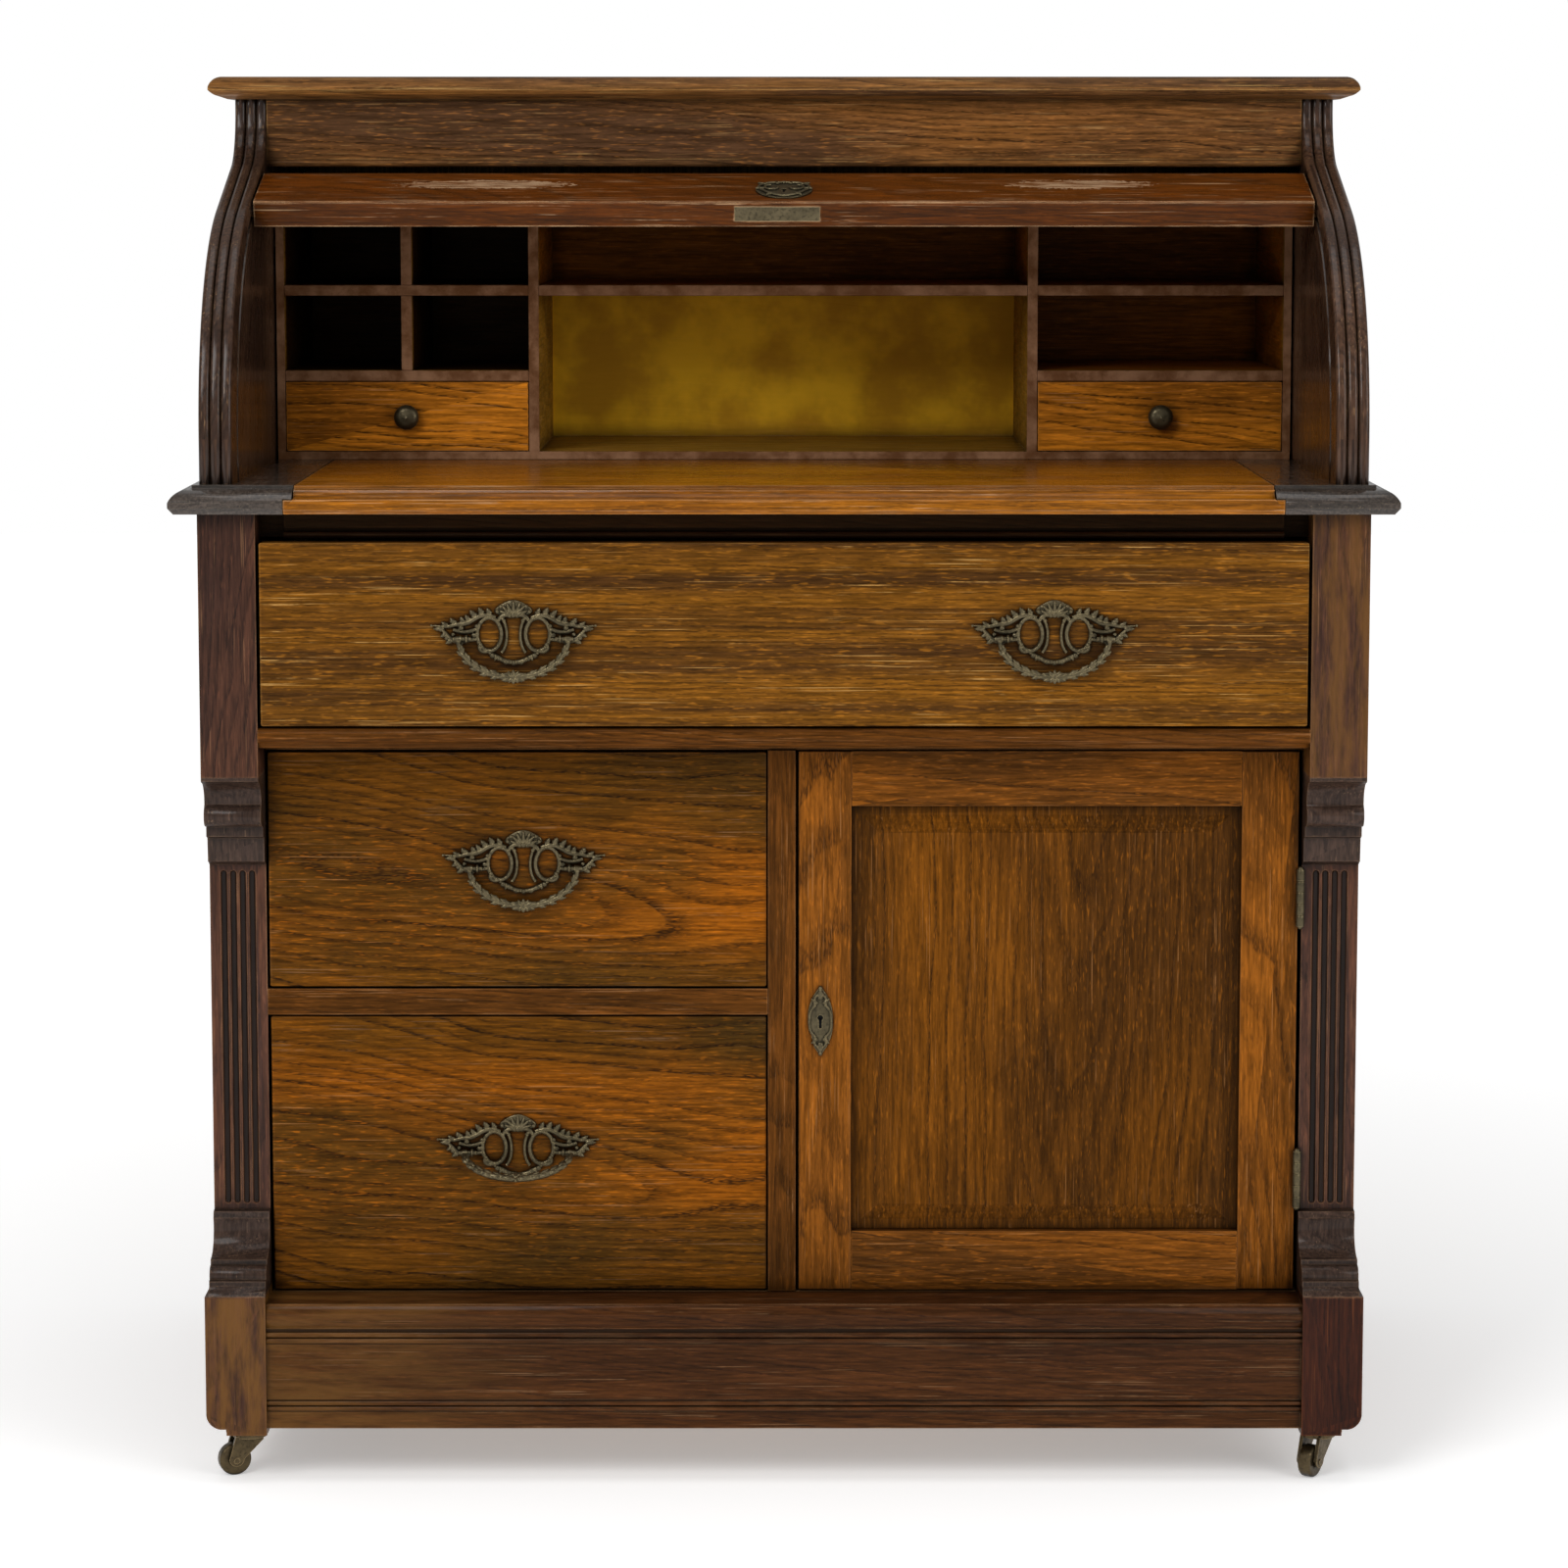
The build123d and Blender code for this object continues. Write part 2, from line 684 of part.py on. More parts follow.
def door_panel():
    """The fielded panel, flush with the frame's opening."""
    x = (DOOR_X[0] + DOOR_STILES[0], DOOR_X[1] - DOOR_STILES[1])
    z = (DOOR_Z[0] + DOOR_RAILS[0], DOOR_Z[1] - DOOR_RAILS[1])
    panel = raised_panel(x[1] - x[0], z[1] - z[0], 12, 4.5, 14)
    upright = Plane.XZ.location * panel
    back_y = DOOR_S[1] - 5 + FRONT_PLANE_Y
    return Pos((x[0] + x[1]) / 2, back_y, (z[0] + z[1]) / 2) * upright


KNUCKLES = 5
BARREL_R = 3.4
HINGE_PIN_R = 1.6


def hinge_leaf(centre_z, door_side):
    """One leaf of a butt hinge with its knuckles. The door's leaf has knuckles 2 and 4."""
    x, s = HINGE_AXIS
    foot = centre_z - HINGE_LENGTH / 2
    span = HINGE_LENGTH / KNUCKLES
    leaf_x = (DOOR_X[1], x - 0.1) if door_side else (x + 0.1, OPENING)
    leaf = slab(leaf_x, (s + BARREL_R + 0.5, 64), (foot, foot + HINGE_LENGTH))
    for number in range(KNUCKLES):
        if (number % 2 == 1) != door_side:
            continue
        z = (foot + number * span + 0.15, foot + (number + 1) * span - 0.15)
        leaf += rod_z(BARREL_R, x, s, z) + slab(leaf_x, (s, s + BARREL_R + 1), z)
    bore = HINGE_PIN_R + (CLEARANCE if door_side else 0)
    leaf -= rod_z(bore, x, s, (foot - 1, foot + HINGE_LENGTH + 1))
    if door_side:
        return leaf
    tip = 2.4
    pin = rod_z(HINGE_PIN_R, x, s, (foot, foot + HINGE_LENGTH))
    for z in (foot, foot + HINGE_LENGTH):
        pin += Pos(x, s + FRONT_PLANE_Y, z) * Sphere(tip)
    return leaf + pin


def door_hardware():
    """The door's hinge leaves, its lock case and its keyhole plate."""
    plate_x, plate_z = 29.0, 368.0
    face = outline(
        (plate_x - 10, plate_z),
        (plate_x - 5, plate_z + 21, 1.5),
        (plate_x, plate_z + 28.5),
        (plate_x + 5, plate_z + 21),
        (plate_x + 10, plate_z, 1.5),
        (plate_x + 5, plate_z - 21, 1.5),
        (plate_x, plate_z - 28.5),
        (plate_x - 5, plate_z - 21),
    )
    plate = backwards(face, (DOOR_S[0] - 1.5, DOOR_S[0]))
    plate -= Pos(plate_x, DOOR_S[0] + FRONT_PLANE_Y, plate_z + 2.5) * Rot(90, 0, 0) * Cylinder(2.2, 6)
    plate -= slab((plate_x - 1.1, plate_x + 1.1), (DOOR_S[0] - 4, DOOR_S[0] + 1), (plate_z - 6, plate_z + 2.5))
    lock_case = slab((DOOR_X[0] + 1, DOOR_X[0] + 40), (DOOR_S[1], DOOR_S[1] + 9), (plate_z - 28, plate_z + 28))
    leaves = [hinge_leaf(z, True) for z in HINGE_CENTRES_Z]
    return [plate, lock_case, *leaves]


# ---------------------------------------------------------------- roll
LOCK_PLATE_X = (-40.0, 29.0)
LOCK_PLATE_S = (LEAD_RAIL_S[0] + 4.5, LEAD_RAIL_S[0] + 16.5)
LOCK_PLATE_THICK = 1.6
LOCK_BODY_X = (-32.0, 21.0)
LOCK_BODY_HEIGHT = 34.0


def lead_rail():
    """The roll's heavy front rail, drawn closed and then turned open."""
    s, z = LEAD_RAIL_S, LEAD_RAIL_Z
    face = outline(
        (s[0] + 1.2, z[0]),
        (s[1], z[0]),
        (s[1], z[1] - 3),
        (s[1] - 3, z[1]),
        (s[0] + 2.5, z[1]),
        (s[0], z[1] - 2.5, -0.7),
        (s[0], z[0] + 1.2),
    )
    rail = across(face, (-ROLL_HALF_LENGTH, ROLL_HALF_LENGTH))
    tongue_r = (ROLL_LINE_R - 3, ROLL_LINE_R + 3)
    for side in (1, -1):
        x = sorted((side * ROLL_HALF_LENGTH, side * (SIDE_X[0] + GROOVE_DEPTH - 1)))
        ring = rod_x(tongue_r[1], x, *ROLL_AXIS) - rod_x(tongue_r[0], x, *ROLL_AXIS)
        rail += ring & slab(x, (s[0], s[1] + 2), (z[0] + 6, z[1] - 18))
    rail -= slab(LOCK_PLATE_X, LOCK_PLATE_S, (z[0] - 1, z[0] + LOCK_PLATE_THICK))
    rail -= slab(LOCK_BODY_X, LOCK_PLATE_S, (z[0], z[0] + LOCK_BODY_HEIGHT))
    return about_roll_axis(rail, -ROLL_TURN)


def roll_lock():
    """The lock let into the lead rail, and the keyhole plate on its face."""
    foot = LEAD_RAIL_Z[0]
    lock = slab(LOCK_PLATE_X, LOCK_PLATE_S, (foot, foot + LOCK_PLATE_THICK))
    lock += slab(LOCK_BODY_X, LOCK_PLATE_S, (foot, foot + LOCK_BODY_HEIGHT))
    middle = foot + 28
    shield = outline(
        (-6, middle - 20),
        (6, middle - 20),
        (23, middle + 2, -4),
        (14, middle + 17, -2),
        (-14, middle + 17, -3),
        (-23, middle + 2, -2),
        (-6, middle - 20, -4),
    )
    plate = backwards(shield, (LEAD_RAIL_S[0] - 1.3, LEAD_RAIL_S[0]))
    face_y = LEAD_RAIL_S[0] + FRONT_PLANE_Y
    plate -= Pos(0, face_y, middle + 2) * Rot(90, 0, 0) * Cylinder(2.2, 6)
    plate -= slab((-1.1, 1.1), (LEAD_RAIL_S[0] - 4, LEAD_RAIL_S[0] + 1), (middle - 6, middle + 2))
    return [about_roll_axis(piece, -ROLL_TURN) for piece in (lock, plate)]


def slat_line():
    """The distance along the closed roll's line, from the axis's level, to each slat's middle."""
    rail_top = LEAD_RAIL_Z[1] - ROLL_AXIS[1]
    first = ROLL_LINE_R * atan2(rail_top, sqrt(ROLL_LINE_R**2 - rail_top**2)) + LEAD_GAP + SLAT_WIDTH / 2
    return [first + number * SLAT_PITCH for number in range(SLATS)]


def roll_slat(number):
    """A slat of the open roll, lying level behind the frieze. Its face is two reeds."""
    quarter = ROLL_LINE_R * pi / 2
    travel = ROLL_LINE_R * radians(ROLL_TURN)
    s = ROLL_AXIS[0] + slat_line()[number] + travel - quarter
    z = ROLL_AXIS[1] + ROLL_LINE_R
    half, thick = SLAT_WIDTH / 2, SLAT_HALF_THICK
    face = outline(
        (s - half + 1.2, z - thick),
        (s + half - 1.2, z - thick),
        (s + half, z - thick + 2),
        (s + half, z + 0.8),
        (s, z + 0.8, -3),
        (s - half, z + 0.8, -3),
        (s - half, z - thick + 2),
    )
    return across(face, (-ROLL_HALF_LENGTH, ROLL_HALF_LENGTH))


# ---------------------------------------------------------------- casters
FORK_HUB_Z = (31.0, 37.7)
AXLE_R = 2.5
WHEEL_HALF_WIDTH = 5.5


def caster_plate(x, s):
    """A plate screwed under the post, with the pin that the fork turns on."""
    plate = slab((x - 17, x + 17), (s - 18, s + 18), (FOOT_Z - 3, FOOT_Z))
    pin = rod_z(4, x, s, (FORK_HUB_Z[0] - 2, FOOT_Z - 3))
    head = rod_z(6, x, s, (FORK_HUB_Z[0] - 2.4, FORK_HUB_Z[0] - 0.2))
    return plate + pin + head


def caster_fork(x, s, heading):
    """The fork, hub and axle. The wheel trails the pin towards the heading, in degrees from +X."""
    hub = Pos(0, 0, sum(FORK_HUB_Z) / 2) * Cylinder(14, FORK_HUB_Z[1] - FORK_HUB_Z[0])
    hub -= Pos(0, 0, sum(FORK_HUB_Z) / 2) * Cylinder(4 + CLEARANCE, 20)
    cheek = outline(
        (-9, FORK_HUB_Z[0] + 2),
        (13.5, FORK_HUB_Z[0] + 2),
        (TRAIL + 6.2, WHEEL_R + 1),
        (TRAIL - 6.2, WHEEL_R + 1, 5.8),
        (-9, FORK_HUB_Z[0] - 2),
    )
    fork = hub
    for y in (WHEEL_HALF_WIDTH + 0.5, -WHEEL_HALF_WIDTH - 3.5):
        fork += Pos(0, y + 3, 0) * extrude(Plane.XZ * cheek, 3, dir=(0, -1, 0))
    fork += Pos(TRAIL, 0, WHEEL_R) * Rot(90, 0, 0) * Cylinder(AXLE_R, 2 * WHEEL_HALF_WIDTH + 8.5)
    return Pos(x, s + FRONT_PLANE_Y, 0) * Rot(0, 0, heading) * fork


def caster_wheel(x, s, heading):
    """The wheel, rounded at its rim, bored to run on the axle."""
    rim = outline(
        (0, -WHEEL_HALF_WIDTH),
        (WHEEL_R - 2.5, -WHEEL_HALF_WIDTH),
        (WHEEL_R, -WHEEL_HALF_WIDTH + 2.5, -0.7),
        (WHEEL_R, WHEEL_HALF_WIDTH - 2.5),
        (WHEEL_R - 2.5, WHEEL_HALF_WIDTH, -0.7),
        (0, WHEEL_HALF_WIDTH),
    )
    wheel = revolve(Plane.XZ * rim, Axis.Z) - Cylinder(AXLE_R + CLEARANCE, 20)
    on_axle = Pos(TRAIL, 0, WHEEL_R) * Rot(90, 0, 0) * wheel
    return Pos(x, s + FRONT_PLANE_Y, 0) * Rot(0, 0, heading) * on_axle


CASTERS = {
    "front_left": (-CASTER_X, CASTER_S[0], 200.0),
    "front_right": (CASTER_X, CASTER_S[0], 236.0),
    "rear_left": (-CASTER_X, CASTER_S[1], 118.0),
    "rear_right": (CASTER_X, CASTER_S[1], 68.0),
}


# ---------------------------------------------------------------- the desk
def save_carcase():
    save("front_posts", *both_sides(front_post()))
    save("post_mouldings", *both_sides(corbel()), *both_sides(base_moulding()))
    save("side_frames", *[half for piece in side_frame() for half in both_sides(piece)])
    save("side_panels", *both_sides(side_panel()))
    save("back_boards", *back_boards())
    save("plinth", plinth())
    save("bottom_board", slab((-OPENING, OPENING), (STEP_BACK + 1, INNER_BACK_S), (129, PLINTH_Z[1])))
    save("front_rails", *front_rails())
    save("centre_partition", *centre_partition())
    save("dust_boards", *dust_boards())
    save("cupboard_shelf", *cupboard_shelf())
    save("hinge_leaves", *[hinge_leaf(z, False) for z in HINGE_CENTRES_Z])


def save_upper_case():
    save("writing_ends", *both_sides(writing_end()))
    save("writing_bed", *writing_bed())
    right_side, left_side = both_sides(curved_side())
    save("curved_side_right", right_side)
    save("curved_side_left", left_side)
    save("top_board", top_board())
    save("frieze", *frieze())
    save("gallery_case", *gallery_case())
    save("gallery_shelves", *gallery_shelves())


def save_moving_parts():
    save("writing_slide", writing_slide())
    save("roll_lead_rail", lead_rail())
    save("roll_lock", *roll_lock())
    for number in range(SLATS):
        save(f"roll_slat_{number + 1}", roll_slat(number))

    full_width = (-OPENING + 2.5, OPENING - 2.5)
    save_drawer("long_drawer", full_width, 0.5, LONG_DRAWER_Z,
                [(-HANDLE_X, 680, 0), (HANDLE_X, 680, 0)])
    half_width = (-OPENING + 2, MUNTIN_X[0] - 1)
    save_drawer("upper_drawer", half_width, STEP_BACK + 0.5, UPPER_DRAWER_Z, [(-207, 492, 0)])
    save_drawer("lower_drawer", half_width, STEP_BACK + 0.5, LOWER_DRAWER_Z, [(-213, 262, RAISED_BAIL)])

    bays = {
        "left": (-GALLERY_INNER, PARTITION_LEFT[0]),
        "right": (PARTITION_RIGHT[1], GALLERY_INNER),
    }
    for name, bay in bays.items():
        save(f"gallery_drawer_{name}", *gallery_drawer(bay))
        save(f"gallery_knob_{name}", turned_knob(sum(bay) / 2, 836))

    save("door_frame", *door_frame())
    save("door_panel", door_panel())
    save("door_hardware", *door_hardware())

    save("caster_plates", *[caster_plate(x, s) for x, s, _ in CASTERS.values()])
    for name, place in CASTERS.items():
        save(f"caster_fork_{name}", caster_fork(*place))
        save(f"caster_wheel_{name}", caster_wheel(*place))


save_carcase()
save_upper_case()
save_moving_parts()
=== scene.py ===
import json
import math

import bmesh
import bpy
from mathutils import Matrix, Vector


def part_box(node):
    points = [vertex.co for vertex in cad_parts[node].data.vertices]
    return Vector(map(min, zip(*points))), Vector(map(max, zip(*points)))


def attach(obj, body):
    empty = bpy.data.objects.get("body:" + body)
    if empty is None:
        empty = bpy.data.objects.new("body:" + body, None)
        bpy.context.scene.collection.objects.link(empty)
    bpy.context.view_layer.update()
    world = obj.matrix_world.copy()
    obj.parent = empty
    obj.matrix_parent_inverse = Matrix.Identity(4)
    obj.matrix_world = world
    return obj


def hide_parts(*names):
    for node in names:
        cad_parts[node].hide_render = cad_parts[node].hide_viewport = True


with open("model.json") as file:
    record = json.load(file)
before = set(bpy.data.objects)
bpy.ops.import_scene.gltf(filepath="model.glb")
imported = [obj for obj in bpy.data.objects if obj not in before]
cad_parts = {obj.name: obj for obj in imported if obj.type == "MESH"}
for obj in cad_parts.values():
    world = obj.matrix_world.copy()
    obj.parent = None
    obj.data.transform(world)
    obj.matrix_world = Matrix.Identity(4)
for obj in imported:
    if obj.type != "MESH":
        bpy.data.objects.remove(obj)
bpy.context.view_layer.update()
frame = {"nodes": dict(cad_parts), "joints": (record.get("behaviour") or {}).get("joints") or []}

MM = 0.001
AXES = "xyz"


# ---------------------------------------------------------------- camera, light and floor
FRONT_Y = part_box("front_posts")[0].y        # the front plane of the carcase


def make_camera():
    """The camera stands in front of the desk, a little above its writing board."""
    distance, height = 3.40, 1.040
    seen_width, aim_z = 1.2245, 0.566        # what the frame shows at the front plane
    shift = -0.08
    camera = bpy.data.cameras.new("camera")
    camera.sensor_width = 36
    camera.shift_y = shift
    pitch = math.atan2(height - aim_z + shift * seen_width, distance)
    camera.lens = camera.sensor_width * distance / math.cos(pitch) / seen_width
    holder = bpy.data.objects.new("camera", camera)
    holder.location = (0.0, FRONT_Y - distance, height)
    holder.rotation_euler = (math.pi / 2 - pitch, 0, 0)
    bpy.context.scene.collection.objects.link(holder)
    bpy.context.scene.camera = holder


def make_light(name, place, size, power, colour=(1, 1, 1)):
    """A soft square light aimed at the middle of the desk."""
    light = bpy.data.lights.new(name, "AREA")
    light.shape = "SQUARE"
    light.size = size
    light.energy = power
    light.color = colour
    holder = bpy.data.objects.new(name, light)
    holder.location = place
    aim = Vector((0, 0, 0.6)) - Vector(place)
    holder.rotation_euler = aim.to_track_quat("-Z", "Y").to_euler()
    bpy.context.scene.collection.objects.link(holder)


def make_stage():
    """A pale floor under a white sky, with two soft boxes and a fill. The floor glows as painted light,
    less near the desk than far off, so that a soft shade stays under the desk.
    """
    world = bpy.data.worlds.new("sky")
    world.use_nodes = True
    nodes, links = world.node_tree.nodes, world.node_tree.links
    background = nodes["Background"]
    background.inputs["Color"].default_value = (1, 1, 1, 1)
    rays = nodes.new("ShaderNodeLightPath")
    strength = nodes.new("ShaderNodeMapRange")
    strength.inputs["To Min"].default_value = 0.42
    strength.inputs["To Max"].default_value = 1.0
    links.new(rays.outputs["Is Camera Ray"], strength.inputs["Value"])
    links.new(strength.outputs["Result"], background.inputs["Strength"])
    bpy.context.scene.world = world
    make_light("key", (-1.7, -3.0, 2.6), 1.6, 62)
    make_light("fill", (2.6, -2.4, 1.7), 1.8, 34)
    make_light("top", (0.0, -0.6, 3.4), 2.0, 22)
    floor_mesh = bpy.data.meshes.new("floor")
    half = 9.0
    corners = [(-half, -half, 0), (half, -half, 0), (half, half, 0), (-half, half, 0)]
    floor_mesh.from_pydata(corners, [], [(0, 1, 2, 3)])
    floor = bpy.data.objects.new("floor", floor_mesh)
    bpy.context.scene.collection.objects.link(floor)
    paint = Shader("floor_white")
    place = paint.object_place()
    mottle = paint.ramp(paint.noise(place, 0.6), [(0, (0.93,) * 3), (1, (0.96,) * 3)])
    # Painted light: the floor glows, weaker near the desk and stronger far from it.
    floor_glow = paint.remap(paint.vector("LENGTH", place, (0, 0, 0)), 0.35, 3.0, 0.32, 0.66)
    paint.surface({"Base Color": mottle, "Emission Strength": floor_glow}, roughness=0.9)
    floor_mesh.materials.append(paint.material)


# ---------------------------------------------------------------- shader building
class Shader:
    """A node material and short names for the nodes it is built from."""

    def __init__(self, name):
        self.material = bpy.data.materials.new(name)
        self.material.use_nodes = True
        self.tree = self.material.node_tree
        self.tree.nodes.clear()

    def node(self, kind, inputs=None, **settings):
        made = self.tree.nodes.new(kind)
        for key, value in settings.items():
            setattr(made, key, value)
        for key, value in (inputs or {}).items():
            if isinstance(value, bpy.types.NodeSocket):
                self.tree.links.new(value, made.inputs[key])
            else:
                made.inputs[key].default_value = value
        return made

    def object_place(self):
        return self.node("ShaderNodeTexCoord").outputs["Object"]

    def math(self, operation, a, b=0.0):
        return self.node("ShaderNodeMath", {0: a, 1: b}, operation=operation).outputs[0]

    def times(self, *factors):
        """The product of several values."""
        product = factors[0]
        for factor in factors[1:]:
            product = self.math("MULTIPLY", product, factor)
        return product

    def split(self, place):
        """The X, Y and Z outputs of a place."""
        return self.node("ShaderNodeSeparateXYZ", {"Vector": place}).outputs

    def vector(self, operation, a, b):
        made = self.node("ShaderNodeVectorMath", {0: a, 1: b}, operation=operation)
        return made.outputs["Value" if operation in ("DOT_PRODUCT", "LENGTH") else "Vector"]

    def noise(self, place, scale, detail=2.0, roughness=0.5):
        inputs = {"Vector": place, "Scale": scale, "Detail": detail, "Roughness": roughness}
        return self.node("ShaderNodeTexNoise", inputs).outputs["Fac"]

    def remap(self, value, low, high, to_low=0.0, to_high=1.0):
        inputs = {"Value": value, "From Min": low, "From Max": high, "To Min": to_low, "To Max": to_high}
        made = self.node("ShaderNodeMapRange", inputs, interpolation_type="SMOOTHSTEP")
        return made.outputs["Result"]

    def ramp(self, value, stops):
        made = self.node("ShaderNodeValToRGB", {"Fac": value})
        elements = made.color_ramp.elements
        while len(elements) < len(stops):
            elements.new(0.5)
        for element, (position, colour) in zip(elements, stops):
            element.position = position
            element.color = (*colour, 1)
        return made.outputs["Color"]

    def blend(self, amount, a, b, mode="MIX"):
        made = self.node("ShaderNodeMix", data_type="RGBA", blend_type=mode)
        for index, value in ((0, amount), (6, a), (7, b)):
            if isinstance(value, bpy.types.NodeSocket):
                self.tree.links.new(value, made.inputs[index])
            else:
                made.inputs[index].default_value = value if index == 0 else (*value, 1)
        return made.outputs[2]

    def edges(self, radius):
        """1 along the edges of a piece, 0 on its flats."""
        bevel = self.node("ShaderNodeBevel", {"Radius": radius}, samples=3).outputs["Normal"]
        normal = self.node("ShaderNodeNewGeometry").outputs["Normal"]
        return self.remap(self.vector("DOT_PRODUCT", bevel, normal), 0.995, 0.86)

    def hollows(self, distance):
        """1 in corners and crevices, 0 in the open."""
        open_sky = self.node("ShaderNodeAmbientOcclusion", {"Distance": distance}, samples=4)
        return self.remap(open_sky.outputs["AO"], 0.92, 0.45)

    def bump(self, height, distance, strength=1.0, under=None):
        inputs = {"Height": height, "Distance": distance, "Strength": strength}
        if under is not None:
            inputs["Normal"] = under
        return self.node("ShaderNodeBump", inputs).outputs["Normal"]

    def surface(self, linked, roughness=None, metallic=0.0, coat=0.0, coat_roughness=0.1, gloss=0.5,
                sheen_colour=(1, 1, 1)):
        """A principled surface: linked holds the sockets that vary, the rest are the same all over."""
        inputs = {
            "Metallic": metallic, "Coat Weight": coat, "Coat Roughness": coat_roughness,
            "Specular IOR Level": gloss, "Specular Tint": (*sheen_colour, 1),
            "Emission Color": (1, 1, 1, 1),
        }
        if roughness is not None:
            inputs["Roughness"] = roughness
        inputs.update(linked)
        shader = self.node("ShaderNodeBsdfPrincipled", inputs)
        output = self.node("ShaderNodeOutputMaterial")
        self.tree.links.new(shader.outputs["BSDF"], output.inputs["Surface"])


# ---------------------------------------------------------------- wood
def scaled(colour, factor):
    return tuple(channel * factor for channel in colour)


WARM, NEUTRAL = (1.0, 0.60, 0.25), (1.0, 1.0, 1.0)       # colours of a polish's own shine


class Look:
    """How one kind of board looks: its colours, its rings and its finish."""

    # The strength that darkens corners and crevices is painted shade, standing also for dirt.
    def __init__(self, light, dark, line, spacing=0.006, taper=0.10, wander=0.030, ring=0.75,
                 zones=(11.0, 2.6), flecks=0.5, worn=(0.42, 0.25, 0.11), wear=0.35, dirt=0.85,
                 scratches=0.5, rough=0.40, coat=0.02, gloss=0.07, sheen_colour=WARM):
        self.light, self.dark, self.line = light, dark, line
        self.spacing, self.taper, self.wander, self.ring = spacing, taper, wander, ring
        self.zones, self.flecks = zones, flecks
        self.worn, self.wear, self.dirt, self.scratches = worn, wear, dirt, scratches
        self.rough, self.coat, self.gloss = rough, coat, gloss
        self.sheen_colour = sheen_colour


LOOKS = {
    "post": Look((0.075, 0.028, 0.014), (0.036, 0.015, 0.010), (0.012, 0.006, 0.004), spacing=0.004,
                 worn=(0.26, 0.13, 0.06), wear=0.8, dirt=0.95, coat=0.12, rough=0.34,
                 sheen_colour=NEUTRAL),
    "moulding": Look((0.046, 0.026, 0.018), (0.024, 0.014, 0.010), (0.010, 0.006, 0.005), spacing=0.004,
                     worn=(0.20, 0.12, 0.07), wear=0.6, coat=0.16, rough=0.36,
                     sheen_colour=NEUTRAL),
    "side": Look((0.056, 0.027, 0.015), (0.028, 0.014, 0.009), (0.009, 0.005, 0.003), spacing=0.004,
                 worn=(0.30, 0.17, 0.08), wear=0.6, dirt=0.95, coat=0.35, rough=0.28,
                 sheen_colour=NEUTRAL),
    "case": Look((0.105, 0.034, 0.005), (0.050, 0.017, 0.003), (0.018, 0.007, 0.002), spacing=0.005,
                 worn=(0.34, 0.16, 0.06), wear=0.6),
    "plinth": Look((0.062, 0.020, 0.005), (0.036, 0.012, 0.004), (0.013, 0.005, 0.003), spacing=0.005,
                   worn=(0.30, 0.17, 0.08), wear=0.85, dirt=0.95, scratches=0.35, coat=0.10),
    "door": Look((0.200, 0.062, 0.006), (0.085, 0.029, 0.005), (0.024, 0.009, 0.003), spacing=0.007,
                 ring=0.85, worn=(0.36, 0.16, 0.05), flecks=0.7),
    "top": Look((0.210, 0.088, 0.022), (0.085, 0.040, 0.018), (0.026, 0.012, 0.006), spacing=0.007,
                taper=0.06, ring=0.95, worn=(0.60, 0.36, 0.12), wear=0.8),
    "frieze": Look((0.200, 0.078, 0.018), (0.078, 0.036, 0.016), (0.024, 0.010, 0.005),
                       spacing=0.0045, taper=0.055, wander=0.020, ring=1.0, flecks=0.8,
                       worn=(0.50, 0.28, 0.10), wear=0.6),
    "rail": Look((0.088, 0.021, 0.0012), (0.052, 0.013, 0.001), (0.020, 0.006, 0.001), spacing=0.005,
                 worn=(0.60, 0.38, 0.20), wear=0.9, coat=0.14, rough=0.30),
    "drawer": Look((0.230, 0.064, 0.003), (0.090, 0.034, 0.004), (0.016, 0.006, 0.002), spacing=0.008,
                   taper=0.10, wander=0.050, ring=1.0, worn=(0.36, 0.16, 0.05), flecks=0.8),
    "long_drawer": Look((0.170, 0.064, 0.006), (0.060, 0.024, 0.006), (0.022, 0.009, 0.004),
                        spacing=0.004, taper=0.01, wander=0.006, ring=0.8, zones=(46.0, 0.8),
                        flecks=1.0, worn=(0.46, 0.25, 0.07), scratches=0.8),
    "panel": Look((0.125, 0.040, 0.003), (0.058, 0.020, 0.003), (0.018, 0.007, 0.002), spacing=0.007,
                  taper=0.08, wander=0.034, ring=0.85, worn=(0.30, 0.13, 0.04), flecks=0.9),
    "ends": Look((0.055, 0.042, 0.034), (0.032, 0.025, 0.020), (0.014, 0.010, 0.008), spacing=0.005,
                 worn=(0.20, 0.15, 0.10), coat=0.60, rough=0.22, sheen_colour=NEUTRAL),
    "slide": Look((0.300, 0.100, 0.004), (0.170, 0.052, 0.003), (0.060, 0.020, 0.002), spacing=0.005,
                  taper=0.02, worn=(0.56, 0.34, 0.18), wear=0.6, coat=0.25, rough=0.26),
    "gallery": Look((0.320, 0.160, 0.020), (0.190, 0.092, 0.013), (0.080, 0.040, 0.007), spacing=0.012,
                    wander=0.040, ring=0.35, worn=(0.46, 0.28, 0.16), wear=0.8),
    "small_drawer": Look((0.540, 0.180, 0.012), (0.240, 0.078, 0.007), (0.045, 0.016, 0.003),
                         spacing=0.007, wander=0.035, ring=1.0, worn=(0.48, 0.25, 0.10)),
    "plain": Look((0.330, 0.190, 0.085), (0.230, 0.125, 0.052), (0.110, 0.056, 0.024), spacing=0.006,
                  ring=0.5, wear=0.15, coat=0.0, rough=0.72),
}
ORDER = {"x": (1, 2, 0), "y": (0, 2, 1), "z": (0, 1, 2)}     # across, across, along the grain


